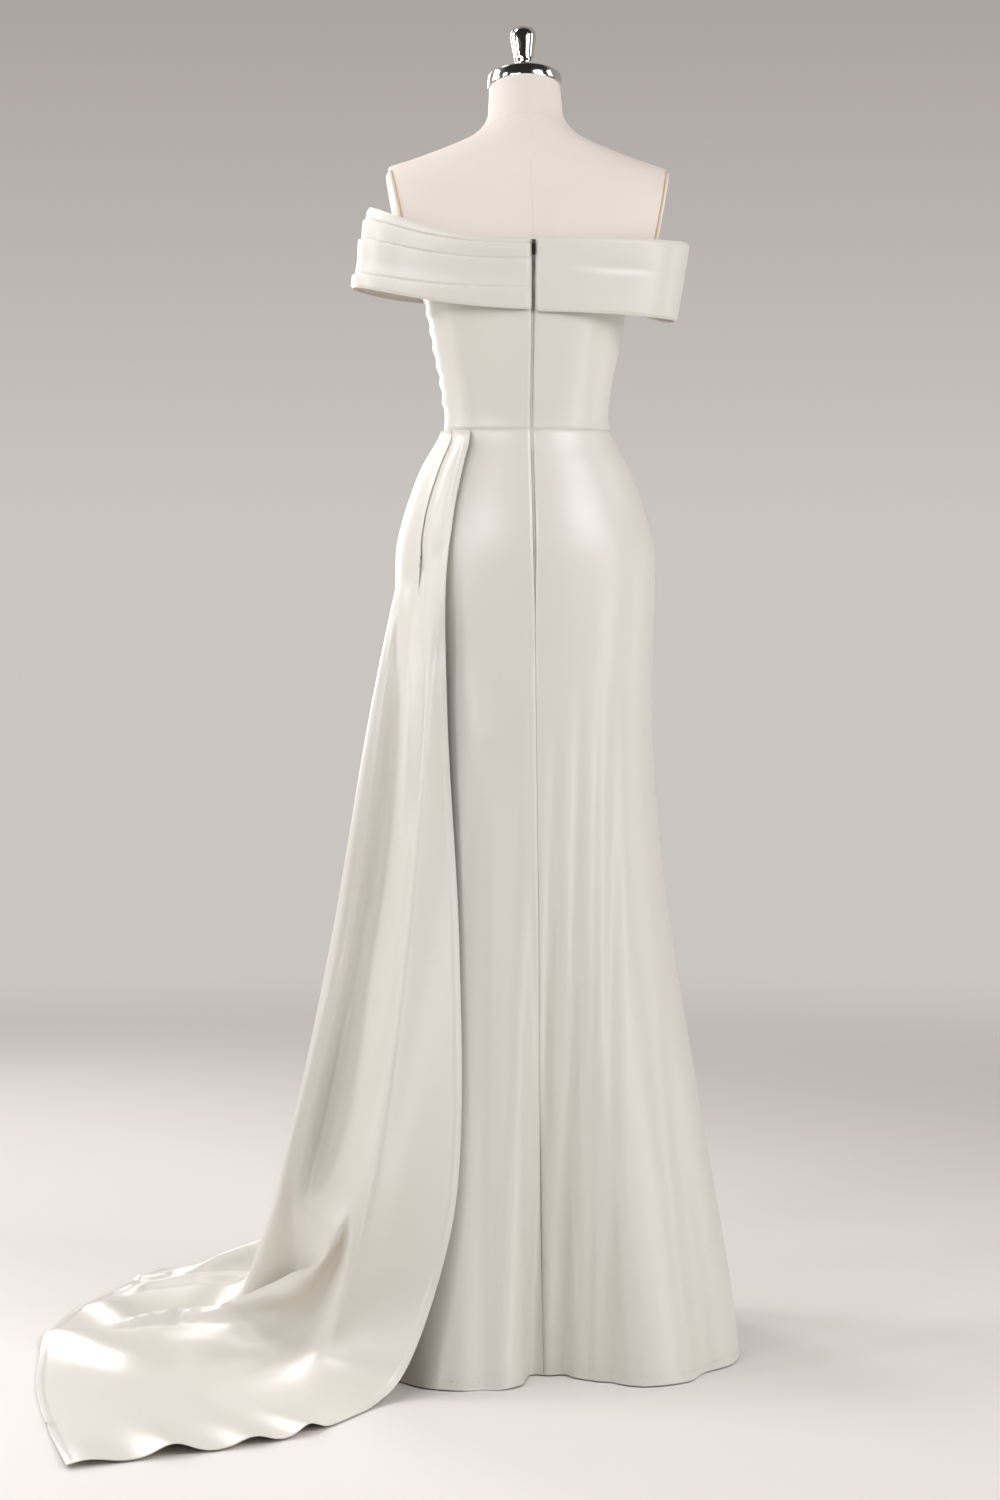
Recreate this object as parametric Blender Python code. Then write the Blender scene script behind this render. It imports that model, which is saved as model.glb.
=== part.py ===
"""An off-the-shoulder satin sheath gown with a side train, on a limbless dress form.

Metres, +Z up, origin on the floor in the middle of the stand's base. The gown's front
faces -Y, its back +Y, and its left side, which carries the train, +X.
Each cloth piece is a thin closed wall: a grid of points on the garment's shape, with a
second grid one cloth thickness behind it.
"""

import math
from collections import namedtuple

import bpy
import numpy as np

CLOTH = 0.0020
SEAM_GAP = 0.0003
FORM_EASE = 0.0045

WAIST_HEIGHT = 1.200
BODICE_TOP = 1.395
HEM_HEIGHT = 0.0010
BODICE_ROWS = 8
HIP_ROWS = 9
HIP_ROWS_END = 0.950
LEG_ROWS = 12
BODICE_FRONT_COLUMNS = 12
BODICE_BACK_COLUMNS = 7
SKIRT_FRONT_COLUMNS = 22
SKIRT_BACK_COLUMNS = 12
SEAM_CROWDING = 1.35
SHARP_ANGLE = 40.0
ACROSS = (1.0, 0.0, 0.0)
BACKWARD = (0.0, 1.0, 0.0)

# Small steps across and down, between which a surface's direction is read
GOWN_STEP = (0.2, -0.001)
BAND_STEP = (0.2, 0.002)
OVERSKIRT_STEP = (0.004, 0.003)

# The gown's outer sections, from the hem up to the top of the back
Section = namedtuple("Section", "height half_width depth_back depth_front squareness")
GOWN_SECTIONS = (
    Section(0.000, 0.2740, 0.345, 0.250, 3.00),
    Section(0.100, 0.2615, 0.312, 0.228, 2.95),
    Section(0.200, 0.2455, 0.281, 0.207, 2.85),
    Section(0.300, 0.2290, 0.252, 0.188, 2.75),
    Section(0.400, 0.2125, 0.226, 0.170, 2.60),
    Section(0.500, 0.1965, 0.204, 0.155, 2.50),
    Section(0.600, 0.1825, 0.185, 0.143, 2.40),
    Section(0.700, 0.1725, 0.168, 0.134, 2.30),
    Section(0.800, 0.1665, 0.152, 0.127, 2.25),
    Section(0.900, 0.1665, 0.139, 0.122, 2.20),
    Section(1.000, 0.1700, 0.130, 0.118, 2.20),
    Section(1.050, 0.1680, 0.124, 0.115, 2.20),
    Section(1.100, 0.1550, 0.112, 0.108, 2.20),
    Section(1.150, 0.1360, 0.095, 0.100, 2.15),
    Section(1.200, 0.1095, 0.080, 0.090, 2.10),
    Section(1.250, 0.1110, 0.083, 0.098, 2.10),
    Section(1.300, 0.1205, 0.090, 0.112, 2.15),
    Section(1.344, 0.1285, 0.097, 0.124, 2.20),
    Section(1.400, 0.1410, 0.1025, 0.118, 2.30),
    Section(1.440, 0.1520, 0.1030, 0.106, 2.40),
)

# The skirt's flutes: angle from the centre back towards the left, the spread of each
# flank, the depth at the hem (inwards if negative), and the height where each one starts
Flute = namedtuple("Flute", "angle spread_left spread_right depth start")
FLUTES = (
    Flute(0.0, 3.5, 9.0, -0.085, 0.66),
    Flute(-11.0, 3.5, 4.0, -0.012, 0.60),
    Flute(38.0, 12.0, 10.0, -0.022, 0.50),
    Flute(-48.0, 9.0, 10.0, -0.014, 0.45),
    Flute(-104.0, 11.0, 12.0, -0.030, 0.50),
    Flute(-142.0, 9.0, 10.0, -0.034, 0.55),
    Flute(176.0, 9.0, 9.0, -0.030, 0.50),
    Flute(140.0, 10.0, 9.0, -0.034, 0.55),
    Flute(102.0, 12.0, 11.0, -0.028, 0.50),
)
FLUTE_GROWTH = 1.5

# Gathers pulled into the left side seam of the bodice's front
GATHER_COUNT = 7
GATHER_ROWS = 3
GATHER_DEPTH = 0.0016
GATHER_SPREAD = 38.0
GATHER_BOTTOM = 1.225
GATHER_TOP = 1.385

# The off-the-shoulder band, a loop that stands clear of the form at each arm
BAND_SQUARENESS = 2.6
BAND_BACK_DEPTH = 0.1049
BAND_FRONT_DEPTH = 0.1247
BAND_ZIP_GAP = 0.0054
BAND_END_ANGLE = -124.0
BAND_PLEATED_COLUMNS = 24
BAND_PLEATED_ROWS = 14
BAND_SMOOTH_COLUMNS = 15
BAND_SMOOTH_ROWS = 6
BandSide = namedtuple("BandSide", "reach_top reach_bottom end_top end_bottom")
BAND_LEFT = BandSide(0.2085, 0.2265, 1.489, 1.385)
BAND_RIGHT = BandSide(0.2145, 0.1980, 1.4435, 1.3415)
BandMiddle = namedtuple("BandMiddle", "top bottom")
BAND_BACK_LEFT = BandMiddle(1.4430, 1.3530)
BAND_BACK_RIGHT = BandMiddle(1.4450, 1.3500)
BAND_FRONT = BandMiddle(1.4450, 1.3680)
BAND_TOP_CURVE = 2.3
BAND_BOTTOM_CURVE = 1.9
BAND_FRONT_BOTTOM_CURVE = 3.0

# The band's pleats: each fold's place down the band at the zip and at the arm, and how
# far it stands out there
Pleat = namedtuple("Pleat", "at_zip at_arm rise")
PLEATS = (
    Pleat(0.07, 0.17, 0.0030),
    Pleat(0.29, 0.41, 0.0040),
    Pleat(0.69, 0.85, 0.0035),
)
PLEAT_FLANK = 0.018
PLEAT_FADE = 0.75
PLEAT_FADE_LENGTH = 0.30
PLEAT_PRESSED = 0.40
PLEAT_OPEN_SHARE = 0.15

# The overskirt and its train: one row for each fold line, from the back edge round the
# left side to the front edge. Hanging stations are (x, y) at a common height, and the
# stations near and on the floor are (x, y, height above lying flat)
WAIST_STATION = 1.1985
HIP_STATION = 1.030
THIGH_STATION = 0.840
KNEE_STATION = 0.540
SHIN_STATION = 0.250
FoldLine = namedtuple("FoldLine", "name waist hip thigh knee shin ankle foot floor hem")
FOLD_LINES = (
    FoldLine("back_edge", (0.075, 0.058), (0.112, 0.108), (0.115, 0.131), (0.103, 0.188),
             (0.110, 0.268), (0.150, 0.330, 0.098), (0.203, 0.388, 0.010),
             (0.335, 0.572, 0.0), (0.586, 0.692, 0.0)),
    FoldLine("main_ridge", (0.096, 0.041), (0.140, 0.086), (0.1435, 0.152), (0.1757, 0.226),
             (0.2225, 0.300), (0.254, 0.303, 0.105), (0.292, 0.305, 0.036),
             (0.420, 0.370, 0.0), (0.618, 0.470, 0.0)),
    FoldLine("near_flank", (0.1035, 0.024), (0.150, 0.062), (0.1616, 0.139), (0.1857, 0.200),
             (0.2484, 0.262), (0.2525, 0.293, 0.183), (0.314, 0.150, 0.020),
             (0.450, 0.190, 0.0), (0.637, 0.280, 0.0)),
    FoldLine("trough", (0.108, 0.008), (0.157, 0.039), (0.1833, 0.112), (0.222, 0.158),
             (0.2882, 0.205), (0.276, 0.270, 0.160), (0.344, 0.110, 0.075),
             (0.435, -0.030, 0.024), (0.641, 0.060, 0.0)),
    FoldLine("outer_crest", (0.1102, -0.006), (0.161, 0.017), (0.2005, 0.122), (0.2467, 0.168),
             (0.3113, 0.215), (0.310, 0.110, 0.100), (0.348, -0.060, 0.006),
             (0.440, -0.120, 0.0), (0.632, -0.055, 0.0)),
    FoldLine("outer_fold", (0.1095, -0.020), (0.162, 0.000), (0.2098, 0.100), (0.2634, 0.135),
             (0.3294, 0.175), (0.372, -0.020, 0.070), (0.392, -0.152, 0.004),
             (0.465, -0.190, 0.0), (0.608, -0.175, 0.0)),
    FoldLine("outer_back", (0.105, -0.034), (0.160, -0.045), (0.195, -0.055),
             (0.240, -0.085), (0.280, -0.145), (0.318, -0.210, 0.090),
             (0.362, -0.250, 0.034), (0.440, -0.273, 0.020), (0.565, -0.290, 0.0)),
    FoldLine("front_valley", (0.096, -0.052), (0.143, -0.078), (0.168, -0.100),
             (0.202, -0.145), (0.240, -0.210), (0.285, -0.262, 0.090),
             (0.345, -0.290, 0.030), (0.432, -0.315, 0.006), (0.532, -0.375, 0.0)),
    FoldLine("front_ridge", (0.080, -0.070), (0.115, -0.108), (0.130, -0.140),
             (0.160, -0.200), (0.205, -0.270), (0.260, -0.305, 0.125),
             (0.335, -0.318, 0.076), (0.415, -0.350, 0.036), (0.507, -0.425, 0.002)),
    FoldLine("front_edge", (0.050, -0.088), (0.075, -0.124), (0.085, -0.150),
             (0.112, -0.205), (0.160, -0.275), (0.222, -0.345, 0.115),
             (0.305, -0.395, 0.048), (0.395, -0.430, 0.008), (0.487, -0.470, 0.0)),
)
OVERSKIRT_CLEARANCE = 0.0012
OVERSKIRT_SEATED_SHARE = 0.05
OVERSKIRT_COLUMNS = 22
OVERSKIRT_LEG_ROWS = 7
OVERSKIRT_FLOOR_ROWS = 20
OVERSKIRT_FLOOR_SHARE = 0.60
OVERSKIRT_STATION_SHARES = (0.0, 0.10, 0.21, 0.385, 0.56, 0.655, 0.73, 0.86, 1.0)
HANGING_SHARE = OVERSKIRT_STATION_SHARES[FoldLine._fields.index("shin") - 1]
HEIGHT_SAMPLES = 200

# Waves lifted off the floor along the train's near hem
HemWave = namedtuple("HemWave", "place spread height")
HEM_WAVES = (
    HemWave(0.825, 0.012, 0.016),
    HemWave(0.875, 0.011, 0.017),
    HemWave(0.925, 0.012, 0.020),
    HemWave(0.972, 0.012, 0.012),
)
HEM_WAVE_REACH = 0.07

# The dress form above the gown: own sections with a forward lean towards the neck
FormSection = namedtuple(
    "FormSection", "height half_width depth_back depth_front squareness forward lean")
FORM_SECTIONS = (
    FormSection(1.400, 0.1355, 0.0970, 0.1120, 2.30, 0.000, 0.0),
    FormSection(1.440, 0.1900, 0.0975, 0.0980, 2.50, 0.000, 0.0),
    FormSection(1.480, 0.2060, 0.0910, 0.0860, 2.50, 0.000, 0.0),
    FormSection(1.515, 0.2080, 0.0810, 0.0720, 2.50, 0.000, 0.0),
    FormSection(1.536, 0.1960, 0.0730, 0.0620, 2.40, 0.002, 0.0),
    FormSection(1.552, 0.1500, 0.0660, 0.0560, 2.20, 0.005, 2.0),
    FormSection(1.568, 0.1060, 0.0600, 0.0540, 2.05, 0.008, 6.0),
    FormSection(1.584, 0.0700, 0.0550, 0.0520, 2.00, 0.012, 10.0),
    FormSection(1.604, 0.0520, 0.0500, 0.0500, 2.00, 0.018, 14.0),
    FormSection(1.630, 0.0480, 0.0480, 0.0480, 2.00, 0.026, 17.0),
    FormSection(1.648, 0.0470, 0.0475, 0.0475, 2.00, 0.0315, 18.0),
)
FORM_BOTTOM = 0.870
FORM_SIDES = 36
FORM_HIDDEN_TOP = 1.380
ARM_PLANE_TIP = 0.1805
ARM_PLANE_TIP_HEIGHT = 1.540
ARM_PLANE_SLOPE = 0.20

PLATE_BOTTOM = 1.432
PLATE_TOP = 1.534
PLATE_STEPS = 14
PLATE_THICKNESS = 0.0040
PLATE_ROUNDING = 0.0018

# Turned profiles are (radius, height) from the bottom up
NECK_LEAN = 18.0
CAP_BASE_HEIGHT = 1.6485
CAP_FORWARD = 0.0318
CAP_PROFILE = ((0.0488, 0.0000), (0.0492, 0.0012), (0.0492, 0.0136), (0.0480, 0.0156),
               (0.0300, 0.0172))
FINIAL_PROFILE = ((0.0130, 0.0000), (0.0130, 0.0130), (0.0108, 0.0165), (0.0108, 0.0185),
                  (0.0122, 0.0205), (0.0138, 0.0330), (0.0158, 0.0450), (0.0174, 0.0545),
                  (0.0170, 0.0605), (0.0146, 0.0655), (0.0095, 0.0685), (0.0040, 0.0694))
CAP_SIDES = 32
FINIAL_SIDES = 24

POLE_RADIUS = 0.0140
BASE_RADIUS = 0.150
BASE_PROFILE = ((0.1485, 0.0000), (0.1500, 0.0020), (0.1500, 0.0060), (0.1450, 0.0095),
                (0.0400, 0.0130), (0.0300, 0.0190), (0.0240, 0.0200))
BASE_SIDES = 40
POLE_SIDES = 24

# The zip behind the centre back seam, with its slider and pull tab at the top
ZIP_TOP = 1.4400
ZIP_TAPE_WIDTH = 0.0110
ZIP_TAPE_THICKNESS = 0.0009
ZIP_EASE = 0.0007
SLIDER_WIDTH = 0.0044
SLIDER_HEIGHT = 0.0085
SLIDER_THICKNESS = 0.0022
SLIDER_TOP = 1.4420
SLIDER_PROUD = 0.0012
EAR_THICKNESS = 0.0008
EAR_RADIUS = 0.0013
PIVOT_STAND_OFF = 0.0012
PIVOT_DROP = 0.0030
BARREL_RADIUS = 0.0007
TAB_NECK_WIDTH = 0.0020
TAB_WIDTH = 0.0046
TAB_LENGTH = 0.0170
TAB_THICKNESS = 0.0009
TAB_SHOULDER = 0.0022
TAB_FLARE = 0.0012
TAB_CORNER_WIDTH = 0.0014
TAB_CORNER_HEIGHT = 0.0020
BAR_SIDES = 16

# Base colour, roughness and metallic value of each finish
Finish = namedtuple("Finish", "colour roughness metallic")
SATIN = Finish((0.78, 0.745, 0.685, 1.0), 0.34, 0.0)
FORM_COVER = Finish((0.83, 0.755, 0.68, 1.0), 0.75, 0.0)
PLATE_RIM = Finish((0.78, 0.60, 0.44, 1.0), 0.55, 0.0)
CHROME = Finish((0.62, 0.62, 0.62, 1.0), 0.16, 1.0)
STAND_PAINT = Finish((0.80, 0.79, 0.77, 1.0), 0.40, 0.0)
ZIP_CLOTH = Finish((0.62, 0.58, 0.52, 1.0), 0.60, 0.0)


# Interpolation


def hermite(places, values, place):
    """Read a smooth curve through (places, values), where values may be vectors."""
    last = len(places) - 1
    place = min(max(place, places[0]), places[-1])
    index = min(max(int(np.searchsorted(places, place)) - 1, 0), last - 1)

    def slope(at):
        before = max(at - 1, 0)
        after = min(at + 1, last)
        return (values[after] - values[before]) / (places[after] - places[before])

    step = places[index + 1] - places[index]
    t = (place - places[index]) / step
    return ((2 * t ** 3 - 3 * t ** 2 + 1) * values[index]
            + (t ** 3 - 2 * t ** 2 + t) * step * slope(index)
            + (3 * t ** 2 - 2 * t ** 3) * values[index + 1]
            + (t ** 3 - t ** 2) * step * slope(index + 1))


def read_sections(rows, height):
    """Return the sizes of a table of sections at one height."""
    places = np.array([row.height for row in rows])
    values = np.array([row[1:] for row in rows])
    return hermite(places, values, height)


def signed_power(value, power):
    return math.copysign(abs(value) ** power, value)


def smoothstep(low, high, value):
    t = min(max((value - low) / (high - low), 0.0), 1.0)
    return t * t * (3 - 2 * t)


def superellipse(angle, half_width, depth_back, depth_front, squareness):
    """Return (x, y) at an angle in degrees from the back, turning to the left side."""
    sine = math.sin(math.radians(angle))
    cosine = math.cos(math.radians(angle))
    depth = depth_back if cosine >= 0 else depth_front
    power = 2.0 / squareness
    return half_width * signed_power(sine, power), depth * signed_power(cosine, power)


# Shapes of the garment


def flute_offset(angle, height):
    """Return how far the skirt's flutes move a point out at an angle and height."""
    offset = 0.0
    for flute in FLUTES:
        turn = (angle - flute.angle + 180.0) % 360.0 - 180.0
        spread = flute.spread_left if turn > 0 else flute.spread_right
        fall = 1.0 - height / flute.start
        if fall > 0:
            offset += flute.depth * fall ** FLUTE_GROWTH * math.exp(-(turn / spread) ** 2)
    return offset


def gown_point(angle, height):
    """Return a point on the outside of the gown's skirt or bodice."""
    x, y = superellipse(angle, *read_sections(GOWN_SECTIONS, height))
    reach = math.hypot(x, y)
    scale = 1.0 + flute_offset(angle, height) / reach
    return np.array((x * scale, y * scale, height))


def gathered_point(angle, height):
    """Return a point on the bodice's front, with gathers at its left side seam."""
    point = gown_point(angle, height)
    along = (height - GATHER_BOTTOM) / (GATHER_TOP - GATHER_BOTTOM)
    if 0.0 < along < 1.0:
        nearness = math.exp(-((angle - 90.0) / GATHER_SPREAD) ** 2)
        wave = math.sin(math.pi * GATHER_COUNT * along) ** 2
        direction = point[:2] / np.linalg.norm(point[:2])
        point[:2] += direction * GATHER_DEPTH * wave * nearness
    return point


def band_point(angle, down, pleated):
    """Return a point on the outside of the band, down is 0 at its top edge and 1 below."""
    left = math.sin(math.radians(angle)) >= 0
    back = math.cos(math.radians(angle)) >= 0
    side = BAND_LEFT if left else BAND_RIGHT
    middle = BAND_FRONT
    bottom_curve = BAND_FRONT_BOTTOM_CURVE
    if back:
        middle = BAND_BACK_LEFT if left else BAND_BACK_RIGHT
        bottom_curve = BAND_BOTTOM_CURVE
    reach = side.reach_top + (side.reach_bottom - side.reach_top) * down
    x, y = superellipse(angle, reach, BAND_BACK_DEPTH, BAND_FRONT_DEPTH, BAND_SQUARENESS)
    share = min(abs(x) / reach, 1.0)
    top = middle.top + (side.end_top - middle.top) * share ** BAND_TOP_CURVE
    bottom = middle.bottom + (side.end_bottom - middle.bottom) * share ** bottom_curve
    rise = pleat_rise(down, share) if pleated else 0.0
    outward = np.array((x, y)) / math.hypot(x, y)
    x, y = np.array((x, y)) + outward * rise
    return np.array((x, y, top + (bottom - top) * down))


def pleat_rise(down, share):
    """Return how far the band's pleats stand out: a step at each fold, easing below it."""
    rise = 0.0
    pressed = PLEAT_PRESSED + (1.0 - PLEAT_PRESSED) * min(share / PLEAT_OPEN_SHARE, 1.0)
    for pleat in PLEATS:
        fold = pleat.at_zip + (pleat.at_arm - pleat.at_zip) * share
        step = smoothstep(fold - PLEAT_FLANK, fold, down)
        ease = 1.0 - PLEAT_FADE * smoothstep(fold, fold + PLEAT_FADE_LENGTH, down)
        rise += pleat.rise * step * ease
    return rise * pressed


def fold_stations(fold):
    """Return the nine stations of one fold line in space."""
    hanging = zip((fold.waist, fold.hip, fold.thigh, fold.knee, fold.shin),
                  (WAIST_STATION, HIP_STATION, THIGH_STATION, KNEE_STATION, SHIN_STATION))
    points = [(x, y, height) for (x, y), height in hanging]
    lying = CLOTH / 2
    for x, y, height in (fold.ankle, fold.foot, fold.floor, fold.hem):
        points.append((x, y, height + lying))
    return points


def overskirt_net():
    """Return the overskirt's stations as an array: fold line, station, coordinate."""
    return np.array([fold_stations(fold) for fold in FOLD_LINES])


def hem_wave_lift(across, down):
    """Return the height that the waves of the near hem add."""
    lift = sum(wave.height * math.exp(-((down - wave.place) / wave.spread) ** 2)
               for wave in HEM_WAVES)
    return lift * math.exp(-(across / HEM_WAVE_REACH) ** 2)


def clear_of_gown(point, clearance, seated):
    """Move a point out until it is a clearance outside the gown's skirt. Where seated is 1
    a point further out is drawn in to that clearance too."""
    x, y, height = point
    if height >= WAIST_HEIGHT or height < 0.0:
        return point
    half_width, back, front, squareness = read_sections(GOWN_SECTIONS, height)
    depth = (back if y >= 0 else front) + clearance
    half_width += clearance
    share = (abs(x) / half_width) ** squareness + (abs(y) / depth) ** squareness
    change = share ** (-1.0 / squareness) - 1.0
    if change < 0.0:
        change *= seated
    return np.array((x * (1.0 + change), y * (1.0 + change), height))


def overskirt_point(across, down, net=overskirt_net()):
    """Return a point in the middle of the overskirt's cloth, both shares from 0 to 1."""
    line_places = np.linspace(0.0, 1.0, len(FOLD_LINES))
    stations = np.array(OVERSKIRT_STATION_SHARES)
    lines = [hermite(stations, line, down) for line in net]
    point = hermite(line_places, np.array(lines), across)
    seated = 1.0 - smoothstep(0.0, OVERSKIRT_SEATED_SHARE, down)
    point = clear_of_gown(point, CLOTH / 2 + OVERSKIRT_CLEARANCE, seated)
    point[2] = max(point[2], CLOTH / 2) + hem_wave_lift(across, down)
    return point


# Meshes


def make_material(name, finish):
    material = bpy.data.materials.new(name)
    material.use_nodes = True
    shader = material.node_tree.nodes["Principled BSDF"]
    shader.inputs["Base Color"].default_value = finish.colour
    shader.inputs["Roughness"].default_value = finish.roughness
    shader.inputs["Metallic"].default_value = finish.metallic
    return material


def make_object(name, points, faces, finish, smooth=True):
    mesh = bpy.data.meshes.new(name)
    mesh.from_pydata([tuple(map(float, point)) for point in points], [], faces)
    mesh.validate()
    if smooth:
        mesh.shade_smooth()
        mesh.set_sharp_from_angle(angle=math.radians(SHARP_ANGLE))
    mesh.materials.append(make_material(name, finish))
    part = bpy.data.objects.new(name, mesh)
    bpy.context.scene.collection.objects.link(part)
    return part


def grid_normals(function, places_across, places_down, step):
    """Return each grid point's unit normal, from the function's own differences."""
    normals = np.zeros((len(places_across), len(places_down), 3))
    for i, across in enumerate(places_across):
        for j, down in enumerate(places_down):
            side = function(across + step[0], down) - function(across - step[0], down)
            fall = function(across, down + step[1]) - function(across, down - step[1])
            normal = np.cross(side, fall)
            normals[i, j] = normal / np.linalg.norm(normal)
    return normals


def wall_faces(columns, rows):
    """Return the quads of a closed wall: outer grid, inner grid and the four edges."""
    count = columns * rows

    def outer(i, j):
        return i * rows + j

    def inner(i, j):
        return count + i * rows + j

    faces = []
    for i in range(columns - 1):
        for j in range(rows - 1):
            faces.append((outer(i, j), outer(i + 1, j), outer(i + 1, j + 1), outer(i, j + 1)))
            faces.append((inner(i, j), inner(i, j + 1), inner(i + 1, j + 1), inner(i + 1, j)))
    for i in range(columns - 1):
        faces.append((outer(i, 0), inner(i, 0), inner(i + 1, 0), outer(i + 1, 0)))
        end = rows - 1
        faces.append((outer(i, end), outer(i + 1, end), inner(i + 1, end), inner(i, end)))
    for j in range(rows - 1):
        faces.append((outer(0, j), outer(0, j + 1), inner(0, j + 1), inner(0, j)))
        end = columns - 1
        faces.append((outer(end, j), inner(end, j), inner(end, j + 1), outer(end, j + 1)))
    return faces


def make_wall(name, outer, inner, finish=SATIN):
    """Build a closed wall from two grids of points, columns first."""
    columns, rows = outer.shape[:2]
    points = np.concatenate((outer.reshape(-1, 3), inner.reshape(-1, 3)))
    return make_object(name, points, wall_faces(columns, rows), finish)


def turned_points(profile, sides):
    angles = [2 * math.pi * side / sides for side in range(sides)]
    return [(radius * math.cos(a), radius * math.sin(a), height)
            for radius, height in profile for a in angles]


def ring_faces(rings, sides):
    """Return the faces of stacked rings, closed by a fan at each end."""
    faces = []
    for ring in range(rings - 1):
        for side in range(sides):
            after = (side + 1) % sides
            low = ring * sides
            high = low + sides
            faces.append((low + side, low + after, high + after, high + side))
    faces.append(tuple(reversed(range(sides))))
    faces.append(tuple(range((rings - 1) * sides, rings * sides)))
    return faces


def lean_forward(points, pivot_height, pivot_y, degrees):
    """Turn points about a line along X, so that their top leans to the front."""
    angle = math.radians(degrees)
    turned = []
    for x, y, z in points:
        depth = y * math.cos(angle) - z * math.sin(angle)
        rise = y * math.sin(angle) + z * math.cos(angle)
        turned.append((x, pivot_y + depth, pivot_height + rise))
    return turned


# The gown's pieces


def panel_grids(function, angles, heights):
    """Return the outer and inner grids of a panel, from its top edge down."""
    outer = np.array([[function(angle, height) for height in heights] for angle in angles])
    normals = grid_normals(function, angles, heights, GOWN_STEP)
    return outer, outer - normals * CLOTH


def trim_seam(grids, column, direction, distance):
    """Move a seam column of both grids onto the plane at a distance along a direction."""
    direction = np.array(direction)
    for grid in grids:
        points = grid[column]
        points += np.outer(distance - points @ direction, direction)


def level_edges(grids, top, bottom):
    for grid in grids:
        grid[:, 0, 2] = top
        grid[:, -1, 2] = bottom


def spaced(first, last, count, power=1.0):
    """Return count + 1 places from first to last, closer to first if power is over 1."""
    return [first + (last - first) * (step / count) ** power for step in range(count + 1)]


def bodice_heights():
    """Return the heights of the bodice's rows, from its top edge down to the waist."""
    return spaced(BODICE_TOP, WAIST_HEIGHT + SEAM_GAP / 2, BODICE_ROWS)


def skirt_heights():
    """Return the heights of the skirt's rows, closer over the waist and hips."""
    upper = spaced(WAIST_HEIGHT - SEAM_GAP / 2, HIP_ROWS_END, HIP_ROWS)
    return upper + spaced(HIP_ROWS_END, HEM_HEIGHT, LEG_ROWS)[1:]


def make_back_panel(name, side, heights, columns):
    """Build a back panel: side is 1 for the left and -1 for the right."""
    angles = spaced(0.0, side * 90.0, columns, SEAM_CROWDING)
    if side < 0:
        angles = angles[::-1]
    grids = panel_grids(gown_point, angles, heights)
    centre = 0 if side > 0 else columns
    edge = columns - centre
    trim_seam(grids, centre, ACROSS, side * SEAM_GAP / 2)
    trim_seam(grids, edge, BACKWARD, SEAM_GAP / 2)
    level_edges(grids, heights[0], heights[-1])
    make_wall(name, *grids)


def make_front_panel(name, function, heights, columns):
    angles = spaced(90.0, 270.0, columns)
    grids = panel_grids(function, angles, heights)
    trim_seam(grids, 0, BACKWARD, -SEAM_GAP / 2)
    trim_seam(grids, columns, BACKWARD, -SEAM_GAP / 2)
    level_edges(grids, heights[0], heights[-1])
    make_wall(name, *grids)


def make_bodice():
    heights = bodice_heights()
    gathered = spaced(heights[0], heights[-1], GATHER_ROWS * GATHER_COUNT)
    make_front_panel("bodice_front", gathered_point, gathered, BODICE_FRONT_COLUMNS)
    make_back_panel("bodice_back_left", 1, heights, BODICE_BACK_COLUMNS)
    make_back_panel("bodice_back_right", -1, heights, BODICE_BACK_COLUMNS)


def make_skirt():
    heights = skirt_heights()
    make_front_panel("skirt_front", gown_point, heights, SKIRT_FRONT_COLUMNS)
    make_back_panel("skirt_back_left", 1, heights, SKIRT_BACK_COLUMNS)
    make_back_panel("skirt_back_right", -1, heights, SKIRT_BACK_COLUMNS)


def band_grids(first, last, columns, downs, pleated):
    """Return the outer and inner grids of the band between two angles."""

    def point(angle, down):
        return band_point(angle, down, pleated)

    angles = spaced(first, last, columns)
    outer = np.array([[point(angle, down) for down in downs] for angle in angles])
    normals = grid_normals(point, angles, downs, BAND_STEP)
    return outer, outer - normals * CLOTH


def make_band():
    """Build the pleated piece from the zip round the left arm and front, then the rest."""
    ahead, behind = (band_point(BAND_END_ANGLE + turn, 0.5, False) for turn in (1.0, -1.0))
    along = np.array((*(ahead - behind)[:2], 0.0))
    along /= np.linalg.norm(along)
    seam = band_point(BAND_END_ANGLE, 0.5, False) @ along
    downs = spaced(0.0, 1.0, BAND_PLEATED_ROWS)
    grids = band_grids(0.0, 360.0 + BAND_END_ANGLE, BAND_PLEATED_COLUMNS, downs, True)
    trim_seam(grids, 0, ACROSS, BAND_ZIP_GAP / 2)
    trim_seam(grids, BAND_PLEATED_COLUMNS, along, seam - SEAM_GAP / 2)
    make_wall("band_pleated", *grids)
    downs = spaced(0.0, 1.0, BAND_SMOOTH_ROWS)
    grids = band_grids(BAND_END_ANGLE, 0.0, BAND_SMOOTH_COLUMNS, downs, False)
    trim_seam(grids, 0, along, seam + SEAM_GAP / 2)
    trim_seam(grids, BAND_SMOOTH_COLUMNS, ACROSS, -BAND_ZIP_GAP / 2)
    make_wall("band_smooth", *grids)


def overskirt_rows():
    """Return shares down the overskirt, level with the skirt's rows over the hips."""
    shares = spaced(0.0, HANGING_SHARE, HEIGHT_SAMPLES)
    heights = [overskirt_point(0.0, share)[2] for share in shares]
    level = [height for height in skirt_heights() if HIP_ROWS_END <= height < WAIST_STATION]
    hips = [0.0] + [float(np.interp(-height, -np.array(heights), shares)) for height in level]
    hanging = spaced(hips[-1], OVERSKIRT_FLOOR_SHARE, OVERSKIRT_LEG_ROWS)
    return hips + hanging[1:] + spaced(OVERSKIRT_FLOOR_SHARE, 1.0, OVERSKIRT_FLOOR_ROWS)[1:]


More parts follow.
